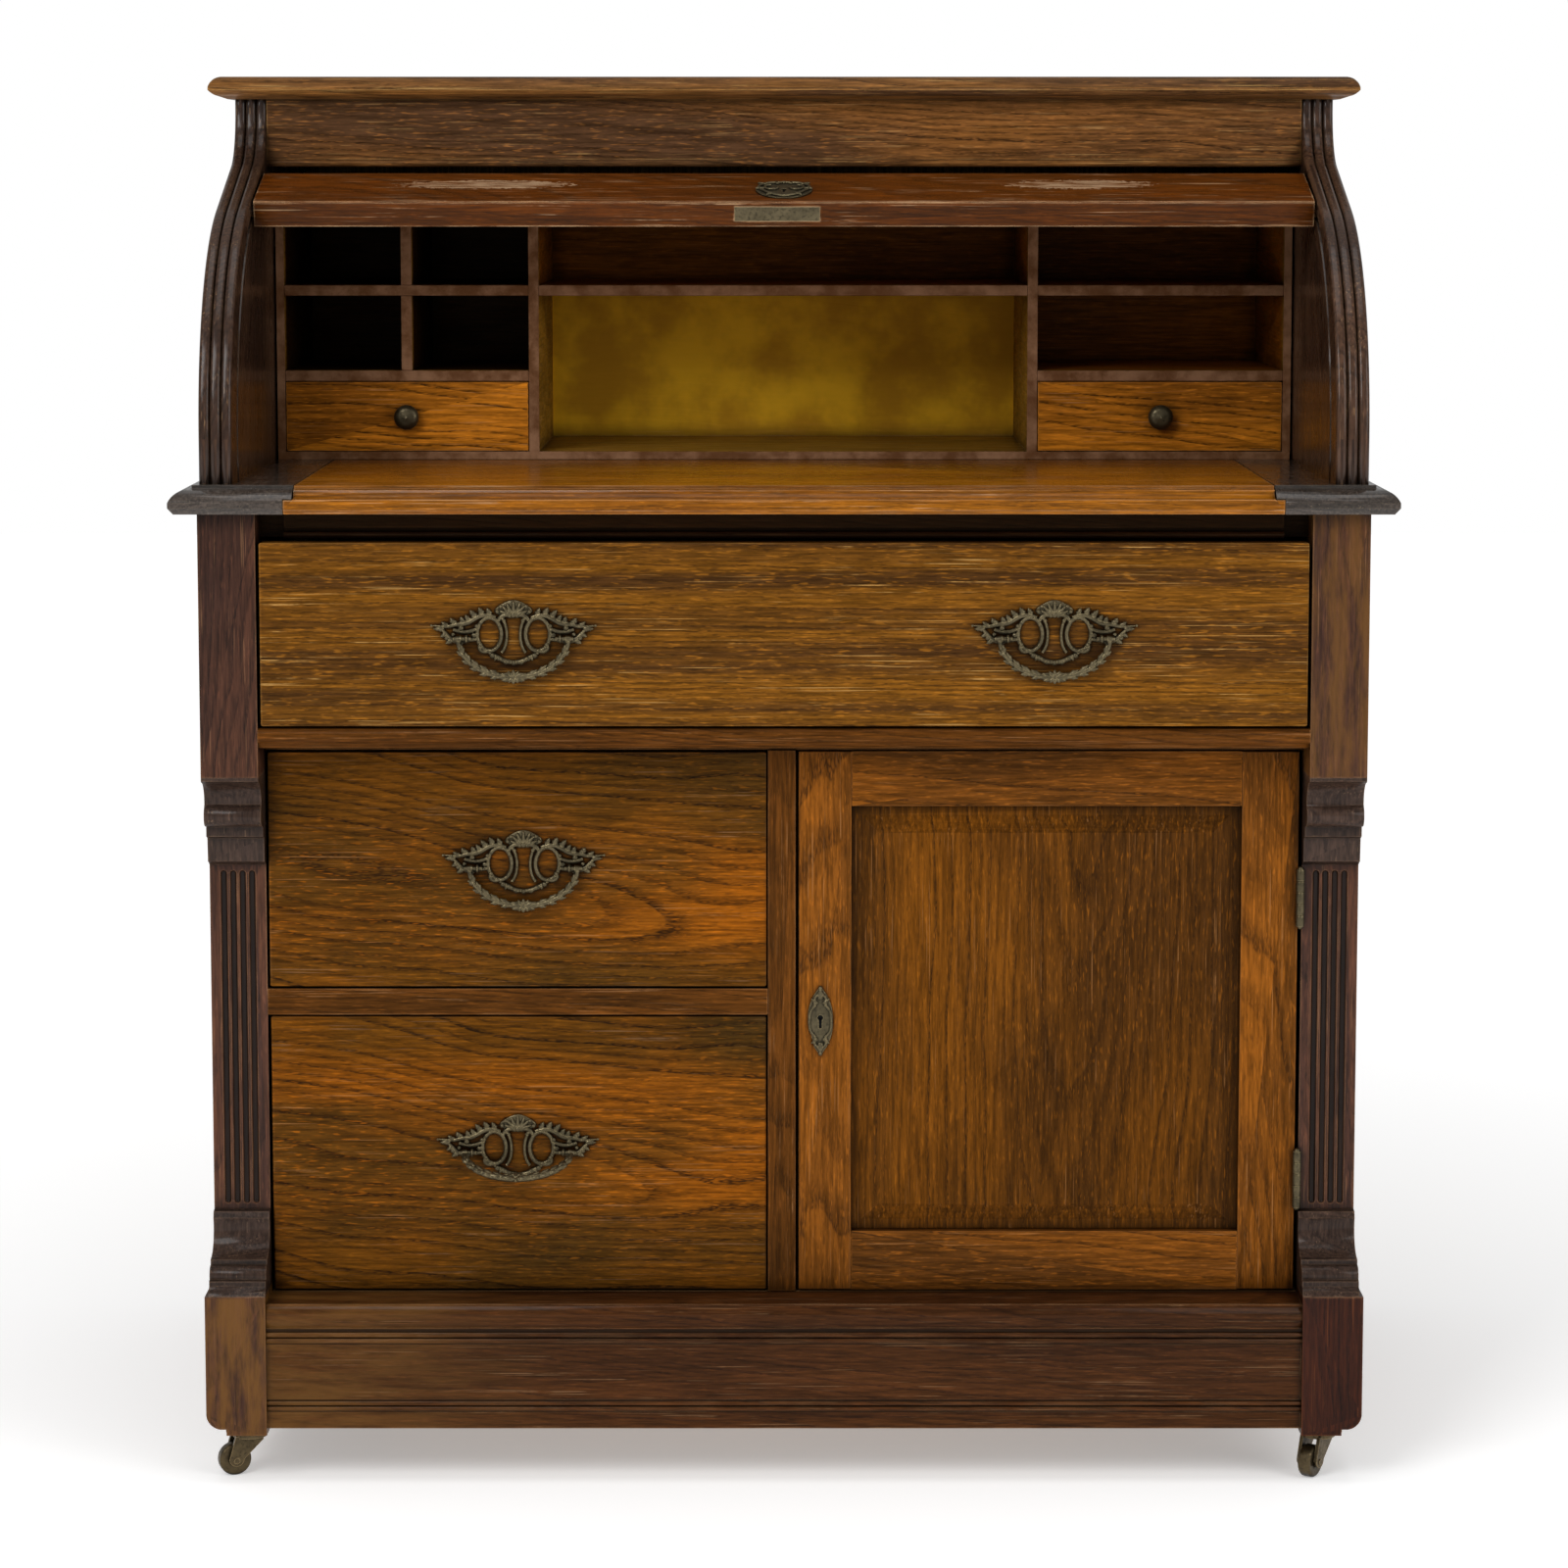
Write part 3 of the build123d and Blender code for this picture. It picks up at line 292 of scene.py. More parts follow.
def wood_place(shader, axis, pith):
    """Coordinates about the heart of the log, with the third along the grain.

    Without a stated heart, each board is cut from its own place in the log.
    """
    place = shader.object_place()
    island = shader.node("ShaderNodeNewGeometry").outputs["Random Per Island"]
    if pith is not None:
        place = shader.vector("SUBTRACT", place, pith)
    split = shader.split(place)
    place = shader.node("ShaderNodeCombineXYZ", {n: split[s] for n, s in enumerate(ORDER[axis])})
    if pith is not None:
        return place.outputs[0], island
    turned = shader.times(island, 39.0)
    drift = shader.node("ShaderNodeCombineXYZ", {
        "X": shader.math("SINE", turned),
        "Y": shader.math("COSINE", turned),
        "Z": shader.times(island, 31.0),
    })
    heart = shader.vector("MULTIPLY", drift.outputs[0], (0.055, 0.075, 1.0))
    return shader.vector("ADD", place.outputs[0], heart), island


def make_wood(name, look, axis, pith=None, marks=None):
    """A polished board sawn from a log: rings about its heart, fibres, pores, worn edges, and painted
    shade in its corners and crevices that also stands for dirt.
    """
    shader = Shader(name)
    place, island = wood_place(shader, axis, pith)

    def stretched(across, along):
        return shader.vector("MULTIPLY", place, (across, across, along))

    sway = shader.node("ShaderNodeTexNoise", {"Vector": stretched(4.0, 2.2), "Scale": 1.0, "Detail": 2.0})
    sway = shader.vector("SUBTRACT", sway.outputs["Color"], (0.5, 0.5, 0.5))
    sway = shader.vector("MULTIPLY", sway, (look.wander * 2, look.wander * 2, 0.0))
    split = shader.split(shader.vector("ADD", place, sway))
    taper = shader.times(split["Z"], look.taper)
    radius = shader.vector("LENGTH", shader.node("ShaderNodeCombineXYZ", {
        "X": split["X"], "Y": shader.math("ADD", split["Y"], taper)}).outputs[0], (0, 0, 0))
    ripple = shader.noise(stretched(60, 16), 1.0, 2.0)
    radius = shader.math("ADD", radius, shader.times(ripple, 0.0035))
    count = shader.times(radius, 1.0 / look.spacing)
    phase = shader.math("FRACT", count)
    number = shader.node("ShaderNodeTexWhiteNoise", {"W": shader.math("FLOOR", count)},
                         noise_dimensions="1D").outputs["Value"]
    line = shader.times(shader.remap(phase, 0.0, 0.07), shader.remap(phase, 0.60, 0.12))
    line = shader.times(line, shader.remap(number, 0.0, 1.0, 0.25, 1.0))

    zone = shader.noise(stretched(*look.zones), 1.0, 3.0, 0.55)
    fibre = shader.noise(stretched(430, 26), 1.0, 3.0, 0.6)
    fleck = shader.noise(stretched(620, 95), 1.0, 1.0)
    scuff = shader.noise(stretched(60, 20), 1.0, 4.0, 0.65)

    colour = shader.blend(shader.remap(zone, 0.34, 0.66), look.light, look.dark)
    breaks = shader.remap(fleck, 0.32, 0.58)
    streaks = shader.times(line, shader.times(breaks, look.ring))
    colour = shader.blend(streaks, colour, look.line)
    light_fleck = shader.times(shader.remap(fleck, 0.56, 0.74), look.flecks * 0.55)
    colour = shader.blend(light_fleck, colour, scaled(look.light, 1.9))
    dark_fleck = shader.times(shader.remap(fleck, 0.42, 0.28), look.flecks * 0.5)
    colour = shader.blend(dark_fleck, colour, look.line)
    shade = shader.times(shader.remap(island, 0.0, 1.0, 0.86, 1.12),
                        shader.remap(fibre, 0.28, 0.72, 0.60, 1.40))
    tint = shader.node("ShaderNodeCombineColor", {"Red": shade, "Green": shade, "Blue": shade})
    colour = shader.blend(1.0, colour, tint.outputs[0], "MULTIPLY")

    scratch = shader.noise(stretched(760, 9), 1.0, 2.0)
    scratch = shader.times(shader.remap(scratch, 0.60, 0.70), shader.remap(scuff, 0.44, 0.60))
    colour = shader.blend(shader.times(scratch, look.scratches), colour, look.worn)
    edge = shader.times(shader.edges(0.0020), shader.remap(scuff, 0.36, 0.62, 0.10, 1.0))
    colour = shader.blend(shader.times(edge, look.wear), colour, look.worn)
    # Painted shade: corners and crevices darkened by ambient occlusion, meant also as old dirt.
    deep = shader.math("MAXIMUM", shader.hollows(0.016), shader.hollows(0.0035))
    crevice_shade_and_grime = shader.times(deep, look.dirt)
    colour = shader.blend(crevice_shade_and_grime, colour, scaled(look.line, 0.3))
    if marks:
        colour = marks(shader, colour)

    rough = shader.remap(scuff, 0.3, 0.7, look.rough - 0.06, look.rough + 0.12)
    grain = shader.math("ADD", shader.times(fleck, 0.8), shader.times(line, -0.8))
    normal = shader.bump(grain, 0.00040, 0.45)
    normal = shader.bump(zone, 0.0015, 0.30, normal)
    shader.surface({"Base Color": colour, "Roughness": rough, "Normal": normal},
                   coat=look.coat, coat_roughness=0.14, gloss=look.gloss,
                   sheen_colour=look.sheen_colour)
    return shader.material


wood_made = {}


def wood(look_name, axis, pith=None, marks=None):
    """The material of a look, a grain direction and a place in the log, made once."""
    key = (look_name, axis, pith, marks)
    if key not in wood_made:
        name = f"wood_{look_name}_{axis}_{len(wood_made)}"
        wood_made[key] = make_wood(name, LOOKS[look_name], axis, pith, marks)
    return wood_made[key]


# ---------------------------------------------------------------- marks on particular boards
FAR = 9.0                                        # beyond the desk, in any direction
HANDLE_SCARS = ((-0.243, 0.070), (0.241, 0.060)) # the middle of each across the rail, and its reach
SCAR_BEHIND_EDGE = 0.046
GALLERY_SHELF = 0.138                            # top of the middle bay, over the gallery's foot
FLUTES_Z = (0.216, 0.491)
PLINTH_BEADS = (0.0135, 0.0235)                  # the lower pair, over the plinth's foot
PLINTH_UPPER_BEADS = (0.0325, 0.0200)            # the upper pair, under its top


def spot(shader, centre, half_size, ragged):
    """1 inside a ragged oval. Sizes of 0 leave that direction out."""
    place = shader.object_place()
    away = shader.vector("SUBTRACT", place, centre)
    inverse = tuple(0.0 if size == 0 else 1.0 / size for size in half_size)
    away = shader.vector("MULTIPLY", away, inverse)
    distance = shader.math("SQRT", shader.vector("DOT_PRODUCT", away, away))
    ripple = shader.noise(place, 240.0, 3.0, 0.6)
    fray = shader.times(shader.math("SUBTRACT", ripple, 0.5), ragged)
    return shader.remap(shader.math("ADD", distance, fray), 1.04, 0.86)


def rail_marks(shader, colour):
    """The pale scars that two missing lift handles left on the roll's front rail."""
    low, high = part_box("roll_lead_rail")
    combed = shader.noise(shader.vector("MULTIPLY", shader.object_place(), (0.08, 1.0, 1.0)), 420.0, 3.0)
    pale = shader.blend(shader.remap(combed, 0.40, 0.62), (0.55, 0.37, 0.22), (0.13, 0.045, 0.012))
    for x, reach in HANDLE_SCARS:
        scar = spot(shader, (x, low.y + SCAR_BEHIND_EDGE, high.z), (reach, 0.0120, 0.0), 1.3)
        colour = shader.blend(shader.times(scar, 0.55), colour, pale)
    return colour


def within(shader, axis, low, high, soft=0.002):
    """1 between two places along an axis, 0 outside them."""
    value = shader.split(shader.object_place())[axis.upper()]
    return shader.times(shader.remap(value, low - soft, low + soft),
                        shader.remap(value, high + soft, high - soft))


def gallery_bay_light_and_shade(shader, colour):
    """Painted light and shade: the back of the open middle bay is painted a bright, clean olive as if lit,
    and the other bays are painted dark with shade.
    """
    low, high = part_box("gallery_case")
    left_wall, right_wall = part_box("gallery_drawer_left")[1].x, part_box("gallery_drawer_right")[0].x
    shelf = low.z + GALLERY_SHELF
    inside = within(shader, "y", low.y + 0.012, FAR, 0.006)
    middle = within(shader, "x", left_wall, right_wall)
    lower = within(shader, "z", low.z - 0.01, shelf)
    back = within(shader, "y", high.y - 0.008, high.y - 0.004, 0.0005)
    cloud = shader.remap(shader.noise(shader.object_place(), 14.0, 4.0, 0.6), 0.35, 0.65)
    # Painted light on the back of the middle bay.
    lit_olive = shader.blend(cloud, (1.0, 0.56, 0.022), (0.60, 0.30, 0.016))
    bright = shader.times(back, middle, lower, within(shader, "z", low.z + 0.012, shelf, 0.012))
    # Painted shade inside the other bays, darkest in the left ones.
    dark = shader.times(inside, shader.math("SUBTRACT", 1.0, shader.times(middle, lower)))
    left = shader.times(dark, within(shader, "x", -FAR, left_wall))
    worn = shader.remap(shader.noise(shader.object_place(), 45.0, 5.0, 0.65), 0.35, 0.68)
    pale_front = shader.blend(worn, (0.110, 0.045, 0.018), (0.25, 0.13, 0.070))
    colour = shader.blend(within(shader, "y", -FAR, low.y + 0.0015, 0.0005), colour, pale_front)
    colour = shader.blend(shader.times(bright, 0.9), colour, lit_olive)
    shaded_warm = shader.blend(1.0, colour, (1.0, 0.50, 0.10), "MULTIPLY")
    colour = shader.blend(shader.times(dark, 0.8), colour, shaded_warm)
    return shader.blend(shader.times(left, 0.93), colour, (0.003, 0.002, 0.001))


def packed_dirt(shader, colour, front, back, low, high):
    """Painted shade in the grooves between two depths and two heights of a moulded face, standing also for
    packed dirt.
    """
    deep = within(shader, "y", front, back, 0.0004)
    level = within(shader, "z", low, high, 0.0004)
    return shader.blend(shader.times(deep, level, 0.85), colour, (0.005, 0.0025, 0.0015))


def rails_overhang_shadow(shader, colour):
    """Painted shadow on the rail that the writing board overhangs."""
    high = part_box("front_rails")[1]
    under = within(shader, "z", high.z - 0.022, high.z + 0.01)
    return shader.blend(shader.times(under, 0.85), colour, (0.004, 0.002, 0.0015))


def post_marks(shader, colour):
    """Polish worn to paler wood on one upper block and one base block; the other base block is redder. The
    pilaster's flutes get painted shade, standing also for packed dirt.
    """
    foot_block_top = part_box("post_mouldings")[0].z - MM
    upper_block_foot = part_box("post_mouldings")[1].z
    rubbed = shader.vector("MULTIPLY", shader.object_place(), (1.0, 1.0, 0.18))
    patch = shader.remap(shader.noise(rubbed, 90.0, 4.0, 0.65), 0.30, 0.66)
    upper = shader.times(within(shader, "x", 0.0, FAR), within(shader, "z", upper_block_foot, FAR))
    foot_block = within(shader, "z", -FAR, foot_block_top)
    foot = shader.times(within(shader, "x", -FAR, 0.0), foot_block)
    worn = shader.math("MAXIMUM", shader.times(upper, 0.6), shader.times(foot, 0.8))
    colour = shader.blend(shader.times(worn, patch), colour, (0.150, 0.064, 0.012))
    other_foot = shader.times(within(shader, "x", 0.0, FAR), foot_block)
    red = shader.blend(1.0, colour, (0.58, 0.34, 0.20), "MULTIPLY")
    colour = shader.blend(other_foot, colour, red)
    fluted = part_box("centre_partition")[0].y     # the pilaster's face is in the muntin's plane
    # Painted shade in the pilaster's flutes.
    return packed_dirt(shader, colour, fluted + 0.0010, fluted + 0.0030, *FLUTES_Z)


def plinth_marks(shader, colour):
    """The skirting's left end has faded to gold, and painted shade round its beads stands also for packed
    dirt.
    """
    low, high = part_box("plinth")
    rubbed = shader.vector("MULTIPLY", shader.object_place(), (0.2, 1.0, 1.0))
    patch = shader.remap(shader.noise(rubbed, 60.0, 4.0, 0.65), 0.25, 0.70)
    faded = shader.times(within(shader, "x", -FAR, low.x + 0.14, 0.13), patch)
    colour = shader.blend(shader.times(faded, 0.65), colour, (0.150, 0.068, 0.016))
    quirk = low.y + 0.0015
    lower_pair = [low.z + rise for rise in PLINTH_BEADS]
    upper_pair = [high.z - drop for drop in PLINTH_UPPER_BEADS]
    # Painted shade in the quirks beside each pair of beads.
    for pair in (lower_pair, upper_pair):
        colour = packed_dirt(shader, colour, quirk, quirk + 0.004, *pair)
    return colour


def drawer_border_shade(shader, colour):
    """Painted shade: the left drawers darken to olive along the upper one's top and the lower one's edges,
    where shade falls under the ledge and along the drawers' borders.
    """
    upper_low, upper_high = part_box("upper_drawer_front")
    lower_low, lower_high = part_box("lower_drawer_front")
    cloud = shader.remap(shader.noise(shader.object_place(), 9.0, 3.0, 0.6), 0.25, 0.60, 0.55, 1.0)
    bands = (
        within(shader, "z", upper_high.z - 0.070, upper_high.z + 0.01, 0.022),
        within(shader, "z", lower_high.z - 0.040, lower_high.z + 0.05, 0.020),
        within(shader, "z", lower_low.z - 0.05, lower_low.z + 0.060, 0.030),
        within(shader, "z", upper_low.z - 0.008, upper_low.z + 0.022, 0.012),
    )
    dark = bands[0]
    for band in bands[1:]:
        dark = shader.math("MAXIMUM", dark, band)
    shade = shader.blend(1.0, colour, (0.50, 0.62, 0.95), "MULTIPLY")
    return shader.blend(shader.times(dark, cloud), colour, shade)


# ---------------------------------------------------------------- metal
def make_metal(name, bright, dull, patina):
    """Old cast brass: bright along its edges, where it is rubbed and where a highlight is painted; dull on
    its flats; dark in its hollows.
    """
    shader = Shader(name)
    place = shader.object_place()
    cloud = shader.noise(place, 55.0, 4.0, 0.6)
    speck = shader.noise(place, 420.0, 3.0, 0.6)
    base = shader.blend(shader.remap(cloud, 0.35, 0.65), dull, scaled(dull, 0.62))
    base = shader.blend(shader.times(shader.remap(speck, 0.52, 0.70), 0.55), base, patina)
    # Rubbed brass and a painted highlight along the edges.
    base = shader.blend(shader.times(shader.edges(0.0012), 0.75), base, bright)
    base = shader.blend(shader.times(shader.hollows(0.006), 0.85), base, scaled(patina, 0.4))
    roughness = shader.remap(speck, 0.3, 0.7, 0.28, 0.54)
    normal = shader.bump(speck, 0.0003, 0.5)
    shader.surface({"Base Color": base, "Roughness": roughness, "Normal": normal}, metallic=0.85)
    return shader.material


BRASS = make_metal("aged_brass", (0.34, 0.27, 0.14), (0.110, 0.088, 0.048), (0.020, 0.020, 0.012))
CASTER_BRASS = make_metal("caster_brass", (0.42, 0.30, 0.15), (0.110, 0.080, 0.040), (0.022, 0.017, 0.010))


# ---------------------------------------------------------------- cast ornament
class Casting:
    """A cast metal mesh gathered from tubes, leaves and beads. Sizes are in mm, y to the back."""

    def __init__(self):
        self.mesh = bmesh.new()

    def add(self, mesh):
        self.mesh.from_mesh(mesh)
        bpy.data.meshes.remove(mesh)

    def tube(self, points, radii, closed=False):
        """A smooth rod through the points, with its own radius at each."""
        curve = bpy.data.curves.new("rod", "CURVE")
        curve.dimensions = "3D"
        curve.bevel_depth = MM
        curve.bevel_resolution = 2
        curve.resolution_u = 3
        curve.use_fill_caps = True
        spline = curve.splines.new("NURBS")
        spline.points.add(len(points) - 1)
        for point, place, radius in zip(spline.points, points, radii):
            point.co = (*(value * MM for value in place), 1)
            point.radius = radius
        spline.order_u = 3
        spline.use_cyclic_u = closed
        spline.use_endpoint_u = not closed
        holder = bpy.data.objects.new("rod", curve)
        self.add(bpy.data.meshes.new_from_object(holder))
        bpy.data.objects.remove(holder)
        bpy.data.curves.remove(curve)

    def pair_tube(self, points, radii):
        """A rod and its mirror image across x = 0."""
        self.tube(points, radii)
        self.tube([(-x, y, z) for x, y, z in points], radii)

    def leaf(self, place, angle, length, width, thick=1.4, lobes=3):
        """A lobed leaf with a raised rib. Its angle goes anticlockwise from +x, in degrees."""
        blank = bmesh.new()
        bmesh.ops.create_uvsphere(blank, u_segments=16, v_segments=8, radius=1.0)
        turn = Matrix.Rotation(math.radians(-angle), 3, "Y")
        for vertex in blank.verts:
            along, side, up = vertex.co.z, vertex.co.x, -vertex.co.y
            taper = 1.0 - 0.45 * along
            scallop = 1.0 + 0.22 * math.cos(lobes * math.pi * (along + 1))
            rib = thick * (up * 0.8 + 0.35 * (1 - abs(side)) * (up > 0))
            flat = Vector(((along + 1) * length / 2, -rib, side * taper * scallop * width / 2))
            vertex.co = (turn @ flat + Vector(place)) * MM
        made = bpy.data.meshes.new("leaf")
        blank.to_mesh(made)
        blank.free()
        self.add(made)

    def pair_leaf(self, place, angle, length, width, thick=1.4, lobes=3):
        x, y, z = place
        self.leaf((x, y, z), angle, length, width, thick, lobes)
        self.leaf((-x, y, z), 180 - angle, length, width, thick, lobes)

    def bead(self, place, radius, flat=0.8):
        blank = bmesh.new()
        bmesh.ops.create_icosphere(blank, subdivisions=2, radius=radius * MM)
        for vertex in blank.verts:
            vertex.co = Vector((vertex.co.x, vertex.co.y * flat, vertex.co.z)) + Vector(place) * MM
        made = bpy.data.meshes.new("bead")
        blank.to_mesh(made)
        blank.free()
        self.add(made)

    def pair_bead(self, place, radius, flat=0.8):
        x, y, z = place
        self.bead((x, y, z), radius, flat)
        self.bead((-x, y, z), radius, flat)

    def finished(self, name, material):
        bmesh.ops.recalc_face_normals(self.mesh, faces=self.mesh.faces)
        mesh = bpy.data.meshes.new(name)
        self.mesh.to_mesh(mesh)
        self.mesh.free()
        for face in mesh.polygons:
            face.use_smooth = True
        mesh.materials.append(material)
        return mesh


def place_piece(name, mesh, body, place, turn=None):
    """Puts a mesh into the scene as a piece of a body; place is in metres."""
    piece = bpy.data.objects.new(name, mesh)
    piece.matrix_world = Matrix.Translation(place) @ (turn or Matrix.Identity(4))
    bpy.context.scene.collection.objects.link(piece)
    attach(piece, body)
    return piece


def arc(centre, half, start, end, steps, y, spiral=0.0):
    """Points round an ellipse in the x-z plane; spiral draws both ends inwards."""
    points = []
    for step in range(steps):
        part = step / (steps - 1)
        angle = math.radians(start + (end - start) * part)
        shrink = 1.0 - spiral * abs(2 * part - 1) ** 3
        points.append((centre[0] + half[0] * shrink * math.cos(angle), y,
                       centre[1] + half[1] * shrink * math.sin(angle)))
    return points


def knobbly(count, radius, change=0.13):
    return [radius * (1 + change * (-1) ** number) for number in range(count)]


FACE = 7.0          # the drawer's face lies this far behind the bail's pivots
EAR = 36.5          # the ears, each side of the middle
EAR_RING = 2.55     # radius of the ring that the bail's pin turns in
HALF_SPAN, DROP = 43.0, 33.0


def make_backplate():
    """An openwork plate: two scrolled loops, a shell on top, leafy tips and a festoon below."""
    cast = Casting()
    flat = FACE - 1.6
    cast.pair_tube(arc((19.0, 3.2), (9.4, 13.0), 165, -215, 33, flat), knobbly(33, 1.7))
    cast.pair_tube(arc((19.0, 3.2), (9.6, 13.2), 105, 285, 22, flat - 0.7), knobbly(22, 1.7, 0.08))
    cast.pair_tube(arc((22.5, -7.2), (4.2, 3.4), 215, 400, 10, flat - 0.8), [1.6] * 10)
    cast.pair_bead((26.0, flat - 1.2, -5.0), 2.0)
    cast.pair_tube(arc((12.5, 2.5), (7.2, 15.0), 115, 245, 15, flat - 0.2), knobbly(15, 1.3))
    arm = [(14, flat, 16.5), (20, flat, 18.5), (27, flat, 17.5), (33, flat, 13.5), (38, flat, 11),
           (45, flat, 11), (53, flat, 8.5), (64, flat, 10)]
    cast.pair_tube(arm, (1.5, 2.0, 2.2, 2.1, 2.2, 2.1, 1.5, 0.4))
    lower = [(58, flat, 9), (53, flat, 4), (49, flat, -1), (42, flat, -2.5), (35, flat, -1.5),
             (27.5, flat, -0.5)]
    cast.pair_tube(lower, (0.7, 1.7, 2.2, 2.2, 1.8, 1.4))
    cast.pair_tube([(47, flat, 7), (41, flat, 4.5), (34, flat, 5), (27.5, flat, 8)], (1.6, 2.1, 1.9, 1.3))
    festoon = [(20, flat, -10), (16.5, flat, -13.2), (12, flat, -15), (7, flat, -18.4), (0, flat, -19)]
    cast.pair_tube(festoon, (1.4, 1.8, 2.0, 2.1, 1.9))
    crest = [(12, flat, 13.5), (10.5, flat, 17), (6, flat, 18.6), (0, flat, 19)]
    cast.pair_tube(crest, (1.7, 2.0, 2.0, 1.9))
    cast.leaf((0, flat + 0.6, 17.0), 90, 13.0, 23.0, 1.0, 0)
    cast.leaf((0, flat - 0.6, 17.5), 90, 12.2, 4.6, 1.9, 1)
    for angle, length in ((68, 11.8), (46, 11.5), (24, 11.0)):
        cast.pair_leaf((1.0, flat - 0.4, 17.4), angle, length, 4.6, 1.7, 1)
    cast.bead((0, flat - 1.2, 18.4), 2.6)
    for place, angle, length, width in (
            ((18, 18.0), 66, 6.5, 4.2), ((24, 18.5), 62, 6.5, 4.6), ((29, 16.0), 52, 8.0, 4.6),
            ((34, 12.5), 60, 7.0, 4.6), ((39, 11.0), 72, 6.5, 4.6), ((45, 10.5), 52, 7.0, 4.4),
            ((51, 9.0), 38, 6.5, 4.0), ((54, 7.5), 0, 8.5, 4.2), ((52, 4.0), -28, 6.0, 4.0),
            ((48, -1.0), -32, 6.0, 4.2), ((41, -2.5), -80, 4.0, 3.8), ((33, 2.0), 170, 6.0, 4.0),
            ((13.5, -14.0), -70, 4.0, 3.2), ((9.5, 15.5), 205, 4.2, 3.0)):
        cast.pair_leaf((place[0], flat - 0.5, place[1]), angle, length, width)
    for place, radius in (((64, 10), 1.0), ((28.5, 9.5), 2.0), ((16.5, -13.5), 2.4), ((11.5, -16), 2.0),
                          ((6, -18.8), 1.9), ((12.5, 21.0), 1.8), ((10.0, 25.0), 1.6), ((41, 8.0), 2.4),
                          ((48, 13.5), 1.9), ((52, 0.5), 2.0), ((47, 3), 1.7)):
        cast.pair_bead((place[0], flat - 0.9, place[1]), radius)
    cast.bead((0, flat - 1.0, -19.2), 2.3)
    for side in (1, -1):
        turns = [n * math.pi / 5 for n in range(10)]
        ring = [(side * EAR, EAR_RING * math.cos(turn), EAR_RING * math.sin(turn)) for turn in turns]
        cast.tube(ring, [0.9] * 10, True)
        cast.tube([(side * EAR, 2.6, 0), (side * EAR, 4.4, 0), (side * EAR, FACE, 0)], (1.2, 1.9, 2.4))
    return cast.finished("backplate", BRASS)


def make_bail():
    """A drooping bail that thickens into leafwork, with a rosette in the middle."""
    cast = Casting()
    bar = arc((0, 0), (HALF_SPAN, DROP - 3.0), 180, 360, 49, 0.0)
    swell = [1.9 + 0.9 * math.sin(math.pi * n / 48) ** 2 + (0.14 if n % 2 else -0.10) for n in range(49)]
    cast.tube(bar, swell)
    cast.pair_tube([(33.0, 0, 0), (38.0, 0, 0), (HALF_SPAN, 0, 0)], (1.7, 1.7, 1.7))
    finial = [(HALF_SPAN - 2.2, 0, 0), (HALF_SPAN + 1.0, 0, 0), (HALF_SPAN + 3.8, 0, 0)]
    cast.pair_tube(finial, (2.7, 2.5, 1.4))
    for angle, length in ((66, 7.5), (52, 8.5), (39, 9.0), (27, 9.0), (16, 8.0)):
        turn = math.radians(angle)
        x, z = HALF_SPAN * math.sin(turn), -(DROP - 3.0) * math.cos(turn)
        along = math.degrees(math.atan2(DROP * math.sin(turn), HALF_SPAN * math.cos(turn)))
        cast.pair_leaf((x, -1.2, z + 0.6), along + 20, length, 4.0, 1.4, 2)
        cast.pair_leaf((x, -1.2, z - 0.6), along - 24, length * 0.8, 3.6, 1.4, 2)
    rosette = ((180, 11.0, 6.4), (198, 8.5, 4.4), (160, 9.5, 4.6), (238, 5.0, 4.0), (122, 6.0, 4.0))
    for angle, length, width in rosette:
        cast.pair_leaf((-1.0, -1.3, -DROP + 3.0), angle, length, width, 1.6, 2)
    cast.leaf((0, -1.2, -DROP + 3.0), -90, 5.2, 4.4, 1.5, 1)
    cast.leaf((0, -1.2, -DROP + 2.0), 90, 7.0, 4.4, 1.5, 1)
    cast.bead((0, -1.6, -DROP + 3.2), 2.4)
    return cast.finished("bail", BRASS)


def make_door_escutcheon():
    """Scrolls, leaves and beads round the door's keyhole plate."""
    cast = Casting()
    flat = -2.1
    side = [(0, flat, 22), (4, flat, 20.5), (5, flat, 16), (4, flat, 12.5), (8, flat, 9), (9.2, flat, 0),
            (8, flat, -9), (4, flat, -12.5), (5, flat, -16), (4, flat, -20.5), (0, flat, -22)]
    cast.pair_tube(side, (0.9, 1.1, 1.2, 1.1, 1.2, 1.0, 1.2, 1.1, 1.2, 1.1, 0.9))
    for sign in (1, -1):
        cast.leaf((0, flat, sign * 17), sign * 90, 10, 5.0, 1.3, 2)
        cast.pair_leaf((2, flat, sign * 14), sign * 38, 7.0, 3.2, 1.2, 2)
        cast.pair_bead((4.2, flat, sign * 12.6), 1.3)
        cast.bead((0, flat, sign * 26.6), 1.7)
    return cast.finished("door_escutcheon", BRASS)


def make_rail_escutcheon():
    """Scrolls and leaves round the roll's keyhole plate."""
    cast = Casting()
    flat = -1.9
    side = [(0, flat, 19), (8, flat, 18), (13, flat, 17), (19, flat, 12), (22, flat, 3), (17, flat, -3),
            (14, flat, -9), (8, flat, -16), (0, flat, -19)]
    cast.pair_tube(side, (1.0, 1.3, 1.4, 1.3, 1.2, 1.4, 1.3, 1.2, 1.0))
    cast.pair_tube(arc((10, 6), (6, 6.5), 80, -200, 16, flat, 0.25), knobbly(16, 1.1))
    leaves = ((14, 14, 20, 8.0), (16, 3, -15, 7.5), (9, -10, -50, 8.0), (5, 15, 70, 6.0))
    for x, z, angle, length in leaves:
        cast.pair_leaf((x, flat, z), angle, length, 3.6, 1.2, 2)
    cast.bead((0, flat, 18.5), 1.8)
    cast.bead((0, flat, -18.5), 1.6)
    return cast.finished("rail_escutcheon", BRASS)


